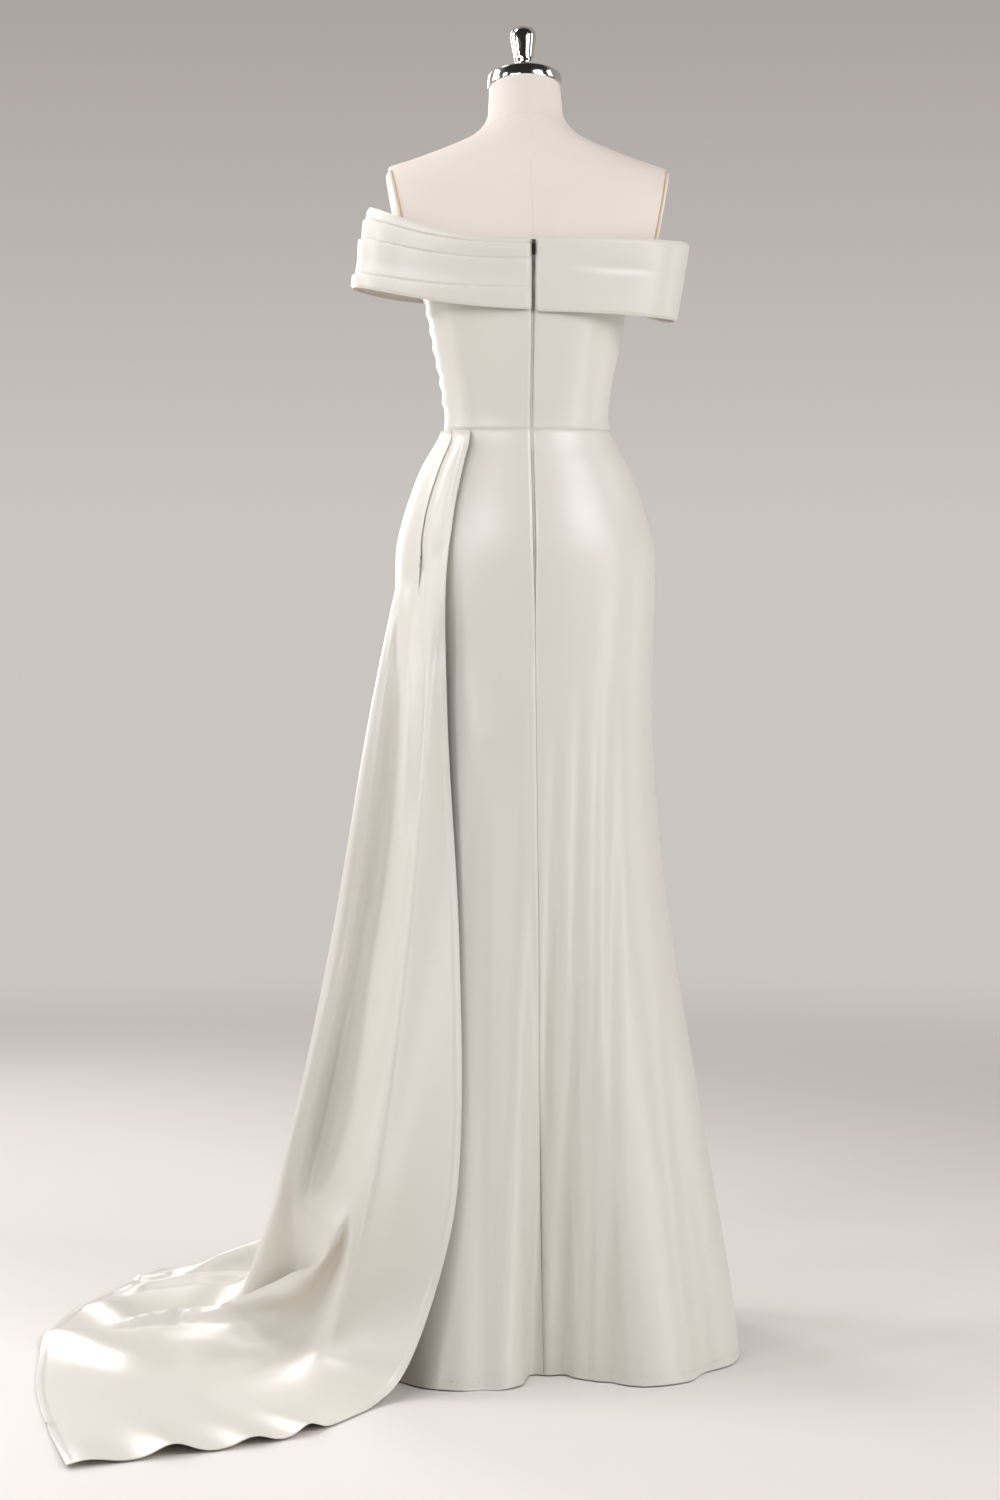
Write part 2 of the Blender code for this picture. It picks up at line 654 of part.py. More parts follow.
def make_overskirt():
    across = spaced(0.0, 1.0, OVERSKIRT_COLUMNS)
    down = overskirt_rows()
    middle = np.array([[overskirt_point(a, d) for d in down] for a in across])
    normals = grid_normals(overskirt_point, across, down, OVERSKIRT_STEP)
    outer = middle + normals * CLOTH / 2
    inner = middle - normals * CLOTH / 2
    inner[:, :, 2] = np.maximum(inner[:, :, 2], 0.0)
    outer[:, :, 2] = np.maximum(outer[:, :, 2], CLOTH)
    outer[:, 0, 2] = WAIST_STATION
    inner[:, 0, 2] = WAIST_STATION
    make_wall("overskirt", outer, inner)


# The zip


def zip_plane(height):
    """Return the y of the zip tape's outer face at a height."""
    return gown_point(0.0, height)[1] - CLOTH - ZIP_EASE


def make_zip_tape():
    heights = [ZIP_TOP] + bodice_heights()
    heights += [height for height in skirt_heights() if height >= HIP_ROWS_END]
    half = ZIP_TAPE_WIDTH / 2
    outer = np.array([[(x, zip_plane(height), height) for height in heights]
                      for x in (-half, half)])
    inner = outer - np.array((0.0, ZIP_TAPE_THICKNESS, 0.0))
    make_wall("zip_tape", outer, inner, ZIP_CLOTH)


def make_box(name, low, high, finish):
    points = [(x, y, z) for x in (low[0], high[0]) for y in (low[1], high[1])
              for z in (low[2], high[2])]
    faces = ((0, 1, 3, 2), (4, 6, 7, 5), (0, 4, 5, 1), (2, 3, 7, 6), (0, 2, 6, 4),
             (1, 5, 7, 3))
    return make_object(name, points, faces, finish, smooth=False)


def join_by_union(target, tools):
    """Unite small closed shapes with a target by Boolean modifiers, then drop the tools."""
    for tool in tools:
        union = target.modifiers.new(tool.name, "BOOLEAN")
        union.operation = "UNION"
        union.solver = "EXACT"
        union.object = tool
        tool.hide_render = True
        tool.display_type = "WIRE"


def slider_pivot():
    """Return the place of the pull tab's axis."""
    return BAND_BACK_DEPTH + SLIDER_PROUD + PIVOT_STAND_OFF, SLIDER_TOP - PIVOT_DROP


def make_bar(name, centre, radius, half_length, finish):
    """Build a short round bar along X."""
    points = []
    for x in (centre[0] - half_length, centre[0] + half_length):
        for side in range(BAR_SIDES):
            angle = 2 * math.pi * side / BAR_SIDES
            points.append((x, centre[1] + radius * math.cos(angle),
                           centre[2] + radius * math.sin(angle)))
    return make_object(name, points, ring_faces(2, BAR_SIDES), finish)


def make_slider():
    pivot_y, pivot_z = slider_pivot()
    face = pivot_y - PIVOT_STAND_OFF
    half = SLIDER_WIDTH / 2
    body = make_box("zip_slider", (-half, face - SLIDER_THICKNESS, SLIDER_TOP - SLIDER_HEIGHT),
                    (half, face, SLIDER_TOP), CHROME)
    ears = []
    for side in (-1, 1):
        middle = side * (half - EAR_THICKNESS / 2)
        name = "ear_tool_left" if side > 0 else "ear_tool_right"
        centre = (middle, pivot_y, pivot_z)
        ears.append(make_bar(name, centre, EAR_RADIUS, EAR_THICKNESS / 2, CHROME))
    join_by_union(body, ears)


def make_pull():
    """Build the pull tab about its own axis, then place it on the slider."""
    pivot_y, pivot_z = slider_pivot()
    half_bar = SLIDER_WIDTH / 2 - EAR_THICKNESS - SEAM_GAP
    outline = ((TAB_NECK_WIDTH / 2, 0.0), (TAB_NECK_WIDTH / 2, -TAB_SHOULDER),
               (TAB_WIDTH / 2, -TAB_SHOULDER - TAB_FLARE),
               (TAB_WIDTH / 2, -TAB_LENGTH + TAB_CORNER_HEIGHT),
               (TAB_WIDTH / 2 - TAB_CORNER_WIDTH, -TAB_LENGTH))
    ring = [(x, z) for x, z in outline] + [(-x, z) for x, z in reversed(outline)]
    points = [(x, y, z) for y in (TAB_THICKNESS / 2, -TAB_THICKNESS / 2) for x, z in ring]
    count = len(ring)
    faces = [tuple(range(count)), tuple(reversed(range(count, 2 * count)))]
    for index in range(count):
        after = (index + 1) % count
        faces.append((index, index + count, after + count, after))
    tab = make_object("zip_pull", points, faces, CHROME, smooth=False)
    bar = make_bar("bar_tool", (0.0, 0.0, 0.0), BARREL_RADIUS, half_bar, CHROME)
    join_by_union(tab, [bar])
    tab.location = (0.0, pivot_y, pivot_z)
    bar.location = (0.0, pivot_y, pivot_z)


# The dress form and its stand


def arm_plane(height):
    """Return the x of the flat cut where an arm would start."""
    return ARM_PLANE_TIP - (ARM_PLANE_TIP_HEIGHT - height) * ARM_PLANE_SLOPE


def hidden_form_ring(height):
    """Return a ring of the form inside the gown, one ease behind the cloth."""
    half_width, back, front, squareness = read_sections(GOWN_SECTIONS, height)
    ring = []
    for side in range(FORM_SIDES):
        angle = 360.0 * side / FORM_SIDES
        x, y = superellipse(angle, half_width - FORM_EASE, back - FORM_EASE,
                            front - FORM_EASE, squareness)
        ring.append((x, y, height))
    return ring


def open_form_section(height):
    """Return the form's section at a height above the gown."""
    places = np.array([row.height for row in FORM_SECTIONS])
    values = np.array([tuple(row) for row in FORM_SECTIONS])
    return FormSection(*hermite(places, values, height))


def open_form_ring(height):
    """Return a ring of the form above the gown, cut flat at each arm, with points at the
    cut's edges."""
    row = open_form_section(height)
    tilt = math.tan(math.radians(row.lean))
    limit = arm_plane(height)
    step = 360.0 / FORM_SIDES
    share = min(limit / row.half_width, 1.0) ** (row.squareness / 2)
    edge = math.degrees(math.acos(share))
    ring = []
    for side in range(FORM_SIDES):
        angle = side * step
        turn = angle % 180.0 - 90.0
        if edge - step < abs(turn) < edge:
            angle += math.copysign(edge - abs(turn), turn)
        x, y = superellipse(angle, row.half_width, row.depth_back, row.depth_front,
                            row.squareness)
        x = min(max(x, -limit), limit)
        ring.append((x, y - row.forward, row.height + y * tilt))
    return ring


def make_form_body():
    heights = [FORM_BOTTOM] + [h for h in reversed(skirt_heights()) if h > FORM_BOTTOM]
    heights += [h for h in reversed(bodice_heights()) if h < FORM_HIDDEN_TOP]
    rings = [hidden_form_ring(height) for height in heights]
    for below, above in zip(FORM_SECTIONS, FORM_SECTIONS[1:]):
        rings.append(open_form_ring(below.height))
        rings.append(open_form_ring((below.height + above.height) / 2))
    rings.append(open_form_ring(FORM_SECTIONS[-1].height))
    points = [point for ring in rings for point in ring]
    faces = [tuple(reversed(face)) for face in ring_faces(len(rings), FORM_SIDES)]
    make_object("form_body", points, faces, FORM_COVER)


def arm_cut_outline():
    """Return (y, height) round the flat arm cut, up its back edge and down its front."""
    back = []
    front = []
    for height in spaced(PLATE_BOTTOM, PLATE_TOP, PLATE_STEPS):
        row = open_form_section(height)
        share = (arm_plane(height) / row.half_width) ** row.squareness
        reach = (1.0 - share) ** (1.0 / row.squareness)
        back.append((row.depth_back * reach - row.forward, height))
        front.append((-row.depth_front * reach - row.forward, height))
    return back + front[::-1]


def make_arm_plates():
    """Build the plate on each arm cut, with the cut's own outline and slope."""
    outline = arm_cut_outline()
    centre_y, centre_height = np.mean(outline, axis=0)
    half_height = (PLATE_TOP - PLATE_BOTTOM) / 2
    for name, side in (("form_arm_plate_left", 1), ("form_arm_plate_right", -1)):
        rings = []
        for shrink, out in ((0.0, 0.0), (0.0, PLATE_THICKNESS - PLATE_ROUNDING),
                            (PLATE_ROUNDING, PLATE_THICKNESS)):
            scale = 1.0 - shrink / half_height
            for y, height in outline:
                y = centre_y + (y - centre_y) * scale
                height = centre_height + (height - centre_height) * scale
                rings.append((side * (arm_plane(height) + SEAM_GAP + out), y, height))
        faces = ring_faces(3, len(outline))
        if side < 0:
            faces = [tuple(reversed(face)) for face in faces]
        make_object(name, rings, faces, PLATE_RIM)


def make_neck_cap():
    points = lean_forward(turned_points(CAP_PROFILE, CAP_SIDES), CAP_BASE_HEIGHT,
                          -CAP_FORWARD, NECK_LEAN)
    make_object("form_neck_cap", points, ring_faces(len(CAP_PROFILE), CAP_SIDES), CHROME)


def make_finial():
    rise = CAP_PROFILE[-1][1] + SEAM_GAP
    lean = math.radians(NECK_LEAN)
    points = lean_forward(turned_points(FINIAL_PROFILE, FINIAL_SIDES),
                          CAP_BASE_HEIGHT + rise * math.cos(lean),
                          -CAP_FORWARD - rise * math.sin(lean), NECK_LEAN)
    make_object("form_finial", points, ring_faces(len(FINIAL_PROFILE), FINIAL_SIDES), CHROME)


def make_stand():
    base_top = BASE_PROFILE[-1][1]
    make_object("stand_base", turned_points(BASE_PROFILE, BASE_SIDES),
                ring_faces(len(BASE_PROFILE), BASE_SIDES), STAND_PAINT)
    profile = ((POLE_RADIUS, base_top + SEAM_GAP), (POLE_RADIUS, FORM_BOTTOM - SEAM_GAP))
    make_object("stand_pole", turned_points(profile, POLE_SIDES), ring_faces(2, POLE_SIDES),
                CHROME)


def main():
    for old in list(bpy.data.objects):
        bpy.data.objects.remove(old, do_unlink=True)
    make_form_body()
    make_arm_plates()
    make_neck_cap()
    make_finial()
    make_stand()
    make_bodice()
    make_band()
    make_skirt()
    make_overskirt()
    make_zip_tape()
    make_slider()
    make_pull()


main()
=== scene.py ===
"""The looks of an ivory satin gown with an overskirt and train, on a limbless dress form.

Metres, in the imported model's frame: the gown's back faces +Y and its left side is +X.
The shape functions repeat the named tables of the part's source. Each cloth piece is a
fine grid on them, with its folds, edges and seams added in its own sizes.
"""

import math
from collections import namedtuple

import bpy
import numpy as np
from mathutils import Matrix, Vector


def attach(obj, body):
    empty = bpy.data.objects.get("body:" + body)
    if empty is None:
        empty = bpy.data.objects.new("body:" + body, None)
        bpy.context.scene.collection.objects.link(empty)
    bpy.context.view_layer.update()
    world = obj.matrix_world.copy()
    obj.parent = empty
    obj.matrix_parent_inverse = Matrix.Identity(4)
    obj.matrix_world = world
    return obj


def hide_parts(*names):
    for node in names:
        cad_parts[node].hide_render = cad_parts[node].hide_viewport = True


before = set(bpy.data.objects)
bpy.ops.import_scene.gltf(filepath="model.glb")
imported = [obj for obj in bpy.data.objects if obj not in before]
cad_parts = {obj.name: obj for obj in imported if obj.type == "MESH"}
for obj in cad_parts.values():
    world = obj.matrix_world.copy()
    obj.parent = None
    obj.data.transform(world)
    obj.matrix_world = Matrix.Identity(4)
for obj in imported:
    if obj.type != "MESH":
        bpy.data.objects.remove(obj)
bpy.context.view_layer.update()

BODY = "dressed_form"

CLOTH = 0.0020
SHELL = 0.0011
SEAM_GAP = 0.0003
WAIST_HEIGHT = 1.200
BODICE_TOP = 1.395
HEM_HEIGHT = 0.0010

# The least that a length or a share is taken for where something is divided by it
TINY = 1e-12
TINY_SHARE = 1e-6

# A fold pressed or settled into cloth: how far it stands out (in if negative), its spread
# to the left and the right of its path seen from outside, and the path
Fold = namedtuple("Fold", "rise left right path")
FOLD_FADE = 0.22

# The gown's outer sections, from the hem up to the top of the back
Section = namedtuple("Section", "height half_width depth_back depth_front squareness")
GOWN_SECTIONS = (
    Section(0.000, 0.2740, 0.345, 0.250, 3.00),
    Section(0.100, 0.2615, 0.312, 0.228, 2.95),
    Section(0.200, 0.2455, 0.281, 0.207, 2.85),
    Section(0.300, 0.2290, 0.252, 0.188, 2.75),
    Section(0.400, 0.2125, 0.226, 0.170, 2.60),
    Section(0.500, 0.1965, 0.204, 0.155, 2.50),
    Section(0.600, 0.1825, 0.185, 0.143, 2.40),
    Section(0.700, 0.1725, 0.168, 0.134, 2.30),
    Section(0.800, 0.1665, 0.152, 0.127, 2.25),
    Section(0.900, 0.1665, 0.139, 0.122, 2.20),
    Section(1.000, 0.1700, 0.130, 0.118, 2.20),
    Section(1.050, 0.1680, 0.124, 0.115, 2.20),
    Section(1.100, 0.1550, 0.112, 0.108, 2.20),
    Section(1.150, 0.1360, 0.095, 0.100, 2.15),
    Section(1.200, 0.1095, 0.080, 0.090, 2.10),
    Section(1.250, 0.1110, 0.083, 0.098, 2.10),
    Section(1.300, 0.1205, 0.090, 0.112, 2.15),
    Section(1.344, 0.1285, 0.097, 0.124, 2.20),
    Section(1.400, 0.1410, 0.1025, 0.118, 2.30),
    Section(1.440, 0.1520, 0.1030, 0.106, 2.40),
)

# The skirt's flutes: angle from the centre back towards the left, the spread of each
# flank, the depth at the hem (inwards if negative), and the height where each one starts
Flute = namedtuple("Flute", "angle spread_left spread_right depth start")
FLUTES = (
    Flute(0.0, 3.5, 9.0, -0.085, 0.66),
    Flute(-11.0, 3.5, 4.0, -0.012, 0.60),
    Flute(38.0, 12.0, 10.0, -0.022, 0.50),
    Flute(-48.0, 9.0, 10.0, -0.014, 0.45),
    Flute(-104.0, 11.0, 12.0, -0.030, 0.50),
    Flute(-142.0, 9.0, 10.0, -0.034, 0.55),
    Flute(176.0, 9.0, 9.0, -0.030, 0.50),
    Flute(140.0, 10.0, 9.0, -0.034, 0.55),
    Flute(102.0, 12.0, 11.0, -0.028, 0.50),
)
FLUTE_GROWTH = 1.5

# Gathers pulled into the left side seam of the bodice's front
GATHER_COUNT = 7
GATHER_DEPTH = 0.0022
GATHER_SPREAD = 30.0
GATHER_SPREAD_BACK = 11.0
GATHER_BOTTOM = 1.225
GATHER_TOP = 1.385

# Narrow folds of the skirt's back: x at two heights, the height where each starts, its
# depth (inwards if negative) and its width
BACK_FOLD_HIGH = 0.723
BACK_FOLD_LOW = 0.048
BackFold = namedtuple("BackFold", "x_high x_low start depth width")
BACK_FOLDS = (
    BackFold(-0.021, 0.008, 0.84, -0.0100, 0.0085),
    BackFold(-0.053, -0.025, 0.88, -0.0090, 0.0085),
    BackFold(-0.077, -0.056, 0.88, -0.0026, 0.0045),
    BackFold(-0.102, -0.079, 0.88, -0.0060, 0.0100),
    BackFold(-0.150, -0.200, 0.50, -0.0080, 0.0160),
    BackFold(0.022, 0.026, 0.50, -0.0022, 0.0045),
    BackFold(0.018, 0.036, 0.88, 0.0050, 0.0110),
    BackFold(0.060, 0.078, 0.80, -0.0130, 0.0220),
)
BACK_FOLD_GROWTH = 0.6

# Seams: how far an edge rolls in and over what width. The zip's slot and its coil, and
# the blind stitches of the skirt's hem
SEAM_TUCK = 0.0013
SEAM_ROLL = 0.0022
SEAM_CROWDING = 0.86
ZIP_SLOT_HALF = 0.0021
ZIP_SLOT_FADE = (0.940, 1.060)
ZIP_TOP = 1.4400
ZIP_BOTTOM = 0.950
ZIP_EASE = 0.0007
COIL_PITCH = 0.0014
COIL_REACH = 0.0015
COIL_RADIUS = 0.0004
STITCH_HEIGHT = 0.0120
STITCH_LENGTH = 0.0045
STITCH_PITCH = 0.0090
STITCH_RADIUS = 0.0004

# The off-the-shoulder band
BAND_SQUARENESS = 2.6
BAND_BACK_DEPTH = 0.1049
BAND_FRONT_DEPTH = 0.1247
BAND_ZIP_GAP = 0.0054
BAND_END_ANGLE = -124.0
BandSide = namedtuple("BandSide", "reach_top reach_bottom end_top end_bottom")
BAND_LEFT = BandSide(0.2085, 0.2265, 1.489, 1.385)
BAND_RIGHT = BandSide(0.2145, 0.1980, 1.4435, 1.3415)
BandMiddle = namedtuple("BandMiddle", "top bottom")
BAND_BACK_LEFT = BandMiddle(1.4430, 1.3530)
BAND_BACK_RIGHT = BandMiddle(1.4450, 1.3500)
BAND_FRONT = BandMiddle(1.4450, 1.3680)
BAND_TOP_CURVE = 2.3
BAND_BOTTOM_CURVE = 1.9
BAND_FRONT_BOTTOM_CURVE = 3.0
BAND_HEIGHT = 0.100
BAND_ROLL = 0.0020
BAND_ROLL_WIDTH = 0.0024
BAND_FOLD = Fold(-0.0016, 0.010, 0.005, (
    (-0.042, 0.104, 1.410), (-0.100, 0.099, 1.406), (-0.172, 0.073, 1.402)))

# The band's pleats: each fold's place down the band at the zip and at the arm, how far it
# stands out, and how deep the crack above it is at the zip and at the arm
Pleat = namedtuple("Pleat", "at_zip at_arm rise crack_at_zip crack_at_arm")
PLEATS = (
    Pleat(0.07, 0.17, 0.0030, 0.0006, 0.0026),
    Pleat(0.29, 0.41, 0.0040, 0.0012, 0.0020),
    Pleat(0.69, 0.85, 0.0035, 0.0003, 0.0024),
)
PLEAT_FADE = 0.75
PLEAT_FADE_LENGTH = 0.30
PLEAT_PRESSED = 0.40
PLEAT_OPEN_SHARE = 0.15
PLEAT_EDGE = 0.0010
CRACK_WIDTH = 0.0011
LIP_LIFT_SHARE = 0.5
LIP_PLACE = 0.0002

# The overskirt and its train, with one row for each fold line from the back edge round
# the left side to the front edge, and stations from the waist down and along the floor
WAIST_STATION = 1.1985
HIP_STATION = 1.030
THIGH_STATION = 0.840
KNEE_STATION = 0.540
SHIN_STATION = 0.250
FoldLine = namedtuple("FoldLine", "name waist hip thigh knee shin ankle foot floor hem")
FOLD_LINES = (
    FoldLine("back_edge", (0.075, 0.058), (0.112, 0.108), (0.115, 0.131), (0.103, 0.188),
             (0.110, 0.268), (0.150, 0.330, 0.098), (0.203, 0.388, 0.010),
             (0.335, 0.572, 0.0), (0.586, 0.692, 0.0)),
    FoldLine("main_ridge", (0.092, 0.047), (0.138, 0.084), (0.1435, 0.152), (0.1757, 0.226),
             (0.2225, 0.300), (0.254, 0.303, 0.105), (0.292, 0.305, 0.036),
             (0.420, 0.370, 0.0), (0.618, 0.470, 0.0)),
    FoldLine("near_flank", (0.1020, 0.028), (0.150, 0.060), (0.1616, 0.139), (0.1857, 0.200),
             (0.2484, 0.262), (0.2519, 0.276, 0.1795), (0.314, 0.150, 0.020),
             (0.450, 0.190, 0.0), (0.637, 0.280, 0.0)),
    FoldLine("trough", (0.107, 0.011), (0.157, 0.037), (0.1833, 0.112), (0.222, 0.158),
             (0.2882, 0.205), (0.276, 0.270, 0.160), (0.344, 0.110, 0.075),
             (0.435, -0.030, 0.024), (0.641, 0.060, 0.0)),
    FoldLine("outer_crest", (0.1100, -0.005), (0.161, 0.016), (0.2005, 0.122), (0.2467, 0.168),
             (0.3113, 0.215), (0.310, 0.110, 0.100), (0.348, -0.060, 0.006),
             (0.440, -0.120, 0.0), (0.632, -0.055, 0.0)),
    FoldLine("outer_fold", (0.1095, -0.020), (0.162, 0.000), (0.2098, 0.100), (0.2634, 0.135),
             (0.3294, 0.175), (0.372, -0.020, 0.070), (0.392, -0.152, 0.004),
             (0.465, -0.190, 0.0), (0.608, -0.175, 0.0)),
    FoldLine("outer_back", (0.105, -0.034), (0.160, -0.045), (0.195, -0.055),
             (0.240, -0.085), (0.280, -0.145), (0.318, -0.210, 0.090),
             (0.362, -0.250, 0.034), (0.440, -0.273, 0.020), (0.565, -0.290, 0.0)),
    FoldLine("front_valley", (0.096, -0.052), (0.143, -0.078), (0.168, -0.100),
             (0.202, -0.145), (0.240, -0.210), (0.285, -0.262, 0.090),
             (0.345, -0.290, 0.030), (0.432, -0.315, 0.006), (0.532, -0.375, 0.0)),
    FoldLine("front_ridge", (0.080, -0.070), (0.115, -0.108), (0.130, -0.140),
             (0.160, -0.200), (0.205, -0.270), (0.260, -0.305, 0.125),
             (0.335, -0.318, 0.076), (0.415, -0.350, 0.036), (0.507, -0.425, 0.002)),
    FoldLine("front_edge", (0.050, -0.088), (0.075, -0.124), (0.085, -0.150),
             (0.112, -0.205), (0.160, -0.275), (0.222, -0.345, 0.115),
             (0.305, -0.395, 0.048), (0.395, -0.430, 0.008), (0.487, -0.470, 0.0)),
)
OVERSKIRT_STATION_SHARES = (0.0, 0.10, 0.21, 0.385, 0.56, 0.655, 0.73, 0.86, 1.0)
OVERSKIRT_CLEARANCE = 0.0012
OVERSKIRT_SEATED_SHARE = 0.05

# How sharp each fold line is where the cloth hangs and where it lies, from 0 for a smooth
# curve to 1 for a corner
HANGING_SHARPNESS = (0.0, 0.90, 0.0, 0.0, 0.0, 0.0, 0.0, 0.0, 0.40, 0.0)
LYING_SHARPNESS = (0.0, 0.10, 0.0, 0.70, 0.0, 0.30, 0.20, 0.0, 0.40, 0.0)
LYING_START = 0.60
LYING_FULL = 0.72

# The pleat on the main ridge: the back panel's edge rolls over it and drops to the panel
# beneath, with a crack at its foot. Below the waist the ridge stands out, and the back
# panel's free edge lifts off the gown
PLEAT_ROLL = 0.0125
PLEAT_DROP = 0.0120
PLEAT_DROP_AT_WAIST = 0.0050
PLEAT_DROP_CHANGE = (0.90, 1.08)
PLEAT_DROP_SPREAD = 0.024
PLEAT_FOOT = (0.10, 0.26)
RIDGE_LIFT = 0.0095
RIDGE_LIFT_SPREAD = 0.030
CRACK_END = 0.0058
CRACK_SIDE = 0.0008
CRACK_DEPTH = 0.0190
CRACK_FOOT = (0.98, 1.06)
PANEL_LIFT = 0.0040
PANEL_LIFT_WIDTH = 0.026
PANEL_TOP = (1.1985, 1.180)
PANEL_FOOT = (0.84, 0.98)

# The narrow hem turned along the overskirt's edges
HEM_STRIP = 0.0085
HEM_STEP = 0.0009
HEM_RISE = 0.0009
HEM_CORD = 0.0008
FLOOR_CLEARANCE = 0.0010

# Folds of the lying train
TRAIN_FOLDS = (
    Fold(0.0170, 0.008, 0.016, (
        (0.276, 0.265, 0.160), (0.306, 0.190, 0.106), (0.344, 0.110, 0.075),
        (0.391, 0.020, 0.040), (0.460, -0.030, 0.020), (0.553, -0.021, 0.010),
        (0.615, -0.005, 0.004))),
    Fold(0.0120, 0.010, 0.014, (
        (0.345, -0.245, 0.034), (0.371, -0.257, 0.030), (0.434, -0.276, 0.020),
        (0.510, -0.280, 0.012), (0.545, -0.262, 0.005))),
    Fold(0.0110, 0.012, 0.016, (
        (0.330, -0.290, 0.080), (0.410, -0.330, 0.045), (0.476, -0.344, 0.020),
        (0.562, -0.291, 0.005))),
    Fold(0.0130, 0.040, 0.032, (
        (0.645, -0.060, 0.004), (0.612, 0.010, 0.004), (0.560, 0.110, 0.003),
        (0.480, 0.210, 0.002))),
    Fold(0.0100, 0.030, 0.026, (
        (0.600, -0.225, 0.004), (0.560, -0.190, 0.004), (0.528, -0.080, 0.004),
        (0.470, -0.085, 0.003))),
    Fold(-0.0060, 0.020, 0.020, (
        (0.300, 0.150, 0.040), (0.360, 0.100, 0.012), (0.440, 0.062, 0.006),
        (0.530, 0.036, 0.004))),
    Fold(0.0070, 0.010, 0.014, (
        (0.604, 0.492, 0.002), (0.650, 0.482, 0.002), (0.700, 0.470, 0.002))),
    Fold(0.0060, 0.008, 0.010, (
        (0.470, -0.365, 0.010), (0.500, -0.379, 0.008), (0.530, -0.400, 0.004))),
)

# Waves lifted off the floor along the train's near hem
HemWave = namedtuple("HemWave", "place spread height")
HEM_WAVES = (
    HemWave(0.836, 0.013, 0.011),
    HemWave(0.883, 0.014, 0.010),
    HemWave(0.935, 0.014, 0.014),
    HemWave(0.987, 0.016, 0.007),
)
HEM_WAVE_REACH = 0.05

# Each cloth piece as cut: its width and length, its flat area, how it is held, and what
# it hangs from or lies on
Cut = namedtuple("Cut", "piece width length area held rests_on")

# The dress form above the gown: own sections with a forward lean towards the neck
FormSection = namedtuple(
    "FormSection", "height half_width depth_back depth_front squareness forward lean")
FORM_SECTIONS = (
    FormSection(1.400, 0.1355, 0.0970, 0.1120, 2.30, 0.000, 0.0),
    FormSection(1.440, 0.1900, 0.0975, 0.0980, 2.50, 0.000, 0.0),
    FormSection(1.480, 0.2060, 0.0910, 0.0860, 2.50, 0.000, 0.0),
    FormSection(1.515, 0.2080, 0.0810, 0.0720, 2.50, 0.000, 0.0),
    FormSection(1.536, 0.1960, 0.0730, 0.0620, 2.40, 0.002, 0.0),
    FormSection(1.552, 0.1500, 0.0660, 0.0560, 2.20, 0.005, 2.0),
    FormSection(1.568, 0.1060, 0.0600, 0.0540, 2.05, 0.008, 6.0),
    FormSection(1.584, 0.0700, 0.0550, 0.0520, 2.00, 0.012, 10.0),
    FormSection(1.604, 0.0520, 0.0500, 0.0500, 2.00, 0.018, 14.0),
    FormSection(1.630, 0.0480, 0.0480, 0.0480, 2.00, 0.026, 17.0),
    FormSection(1.648, 0.0470, 0.0475, 0.0475, 2.00, 0.0315, 18.0),
)
FORM_BOTTOM = 0.870
FORM_EASE = 0.0045
FORM_HIDDEN_TOP = 1.380
ARM_PLANE_TIP = 0.1805
ARM_PLANE_TIP_HEIGHT = 1.540
ARM_PLANE_SLOPE = 0.20
PLATE_BOTTOM = 1.432
PLATE_TOP = 1.534
PLATE_OUTLINE_STEPS = 48

# An arm plate's edge from the form out: the share of its outline, and how far out
PLATE_STEPS = ((1.0, 0.0), (1.0, 0.0024), (0.985, 0.0036), (0.96, 0.0040))
PIPING_RADIUS = 0.0013
FORM_SEAM_RADIUS = 0.0006
FORM_SEAM_SINK = 0.0003
NECK_SEAM_HEIGHT = 1.600
NECK_SEAM_ARCH = 0.016
NECK_SEAM_SPREAD = 62.0
FORM_SEAM_BOTTOM = 1.430
METAL_ROUNDING = 0.0003
ROUNDING_SEGMENTS = 2

# Turned profiles are (radius, height) from the bottom up
NECK_LEAN = 18.0
CAP_BASE_HEIGHT = 1.6485
CAP_FORWARD = 0.0318
CAP_PROFILE = ((0.0470, 0.0000), (0.0488, 0.0001), (0.0492, 0.0012), (0.0492, 0.0070),
               (0.0492, 0.0136), (0.0488, 0.0149), (0.0478, 0.0157), (0.0300, 0.0172))
FINIAL_PROFILE = ((0.0129, 0.0000), (0.0130, 0.0010), (0.0130, 0.0130), (0.0120, 0.0152),
                  (0.0108, 0.0168), (0.0108, 0.0185), (0.0122, 0.0205), (0.0129, 0.0262),
                  (0.0138, 0.0330), (0.0158, 0.0450), (0.0174, 0.0545), (0.0170, 0.0605),
                  (0.0146, 0.0655), (0.0095, 0.0685), (0.0040, 0.0694))
CAP_SIDES = 96

# Edges that turn by more than these degrees are sharp
BOARD_SHARP = 50.0
METAL_SHARP = 35.0

# How finely the gown's grids are cut. Rows or columns crowd towards both ends by a
# crowding, and towards the start by a power
BODICE_ROWS = 100
ROW_CROWDING = 0.85
SkirtSpan = namedtuple("SkirtSpan", "top bottom rows power")
SKIRT_SPANS = (
    SkirtSpan(WAIST_HEIGHT - SEAM_GAP / 2, 0.95, 52, 1.7),
    SkirtSpan(0.95, 0.02, 112, 1.0),
    SkirtSpan(0.02, HEM_HEIGHT, 12, 1.0),
)
BODICE_FRONT_COLUMNS = 130
BODICE_BACK_COLUMNS = 70
SKIRT_FRONT_COLUMNS = 140
SKIRT_BACK_COLUMNS = 120
HEM_RING_STEPS = 1440
BAND_PLEATED_COLUMNS = 200
BAND_PLEAT_ROWS = 26
BAND_PLEAT_CROWDING = 0.93
BAND_SMOOTH_COLUMNS = 120
BAND_SMOOTH_ROWS = 80

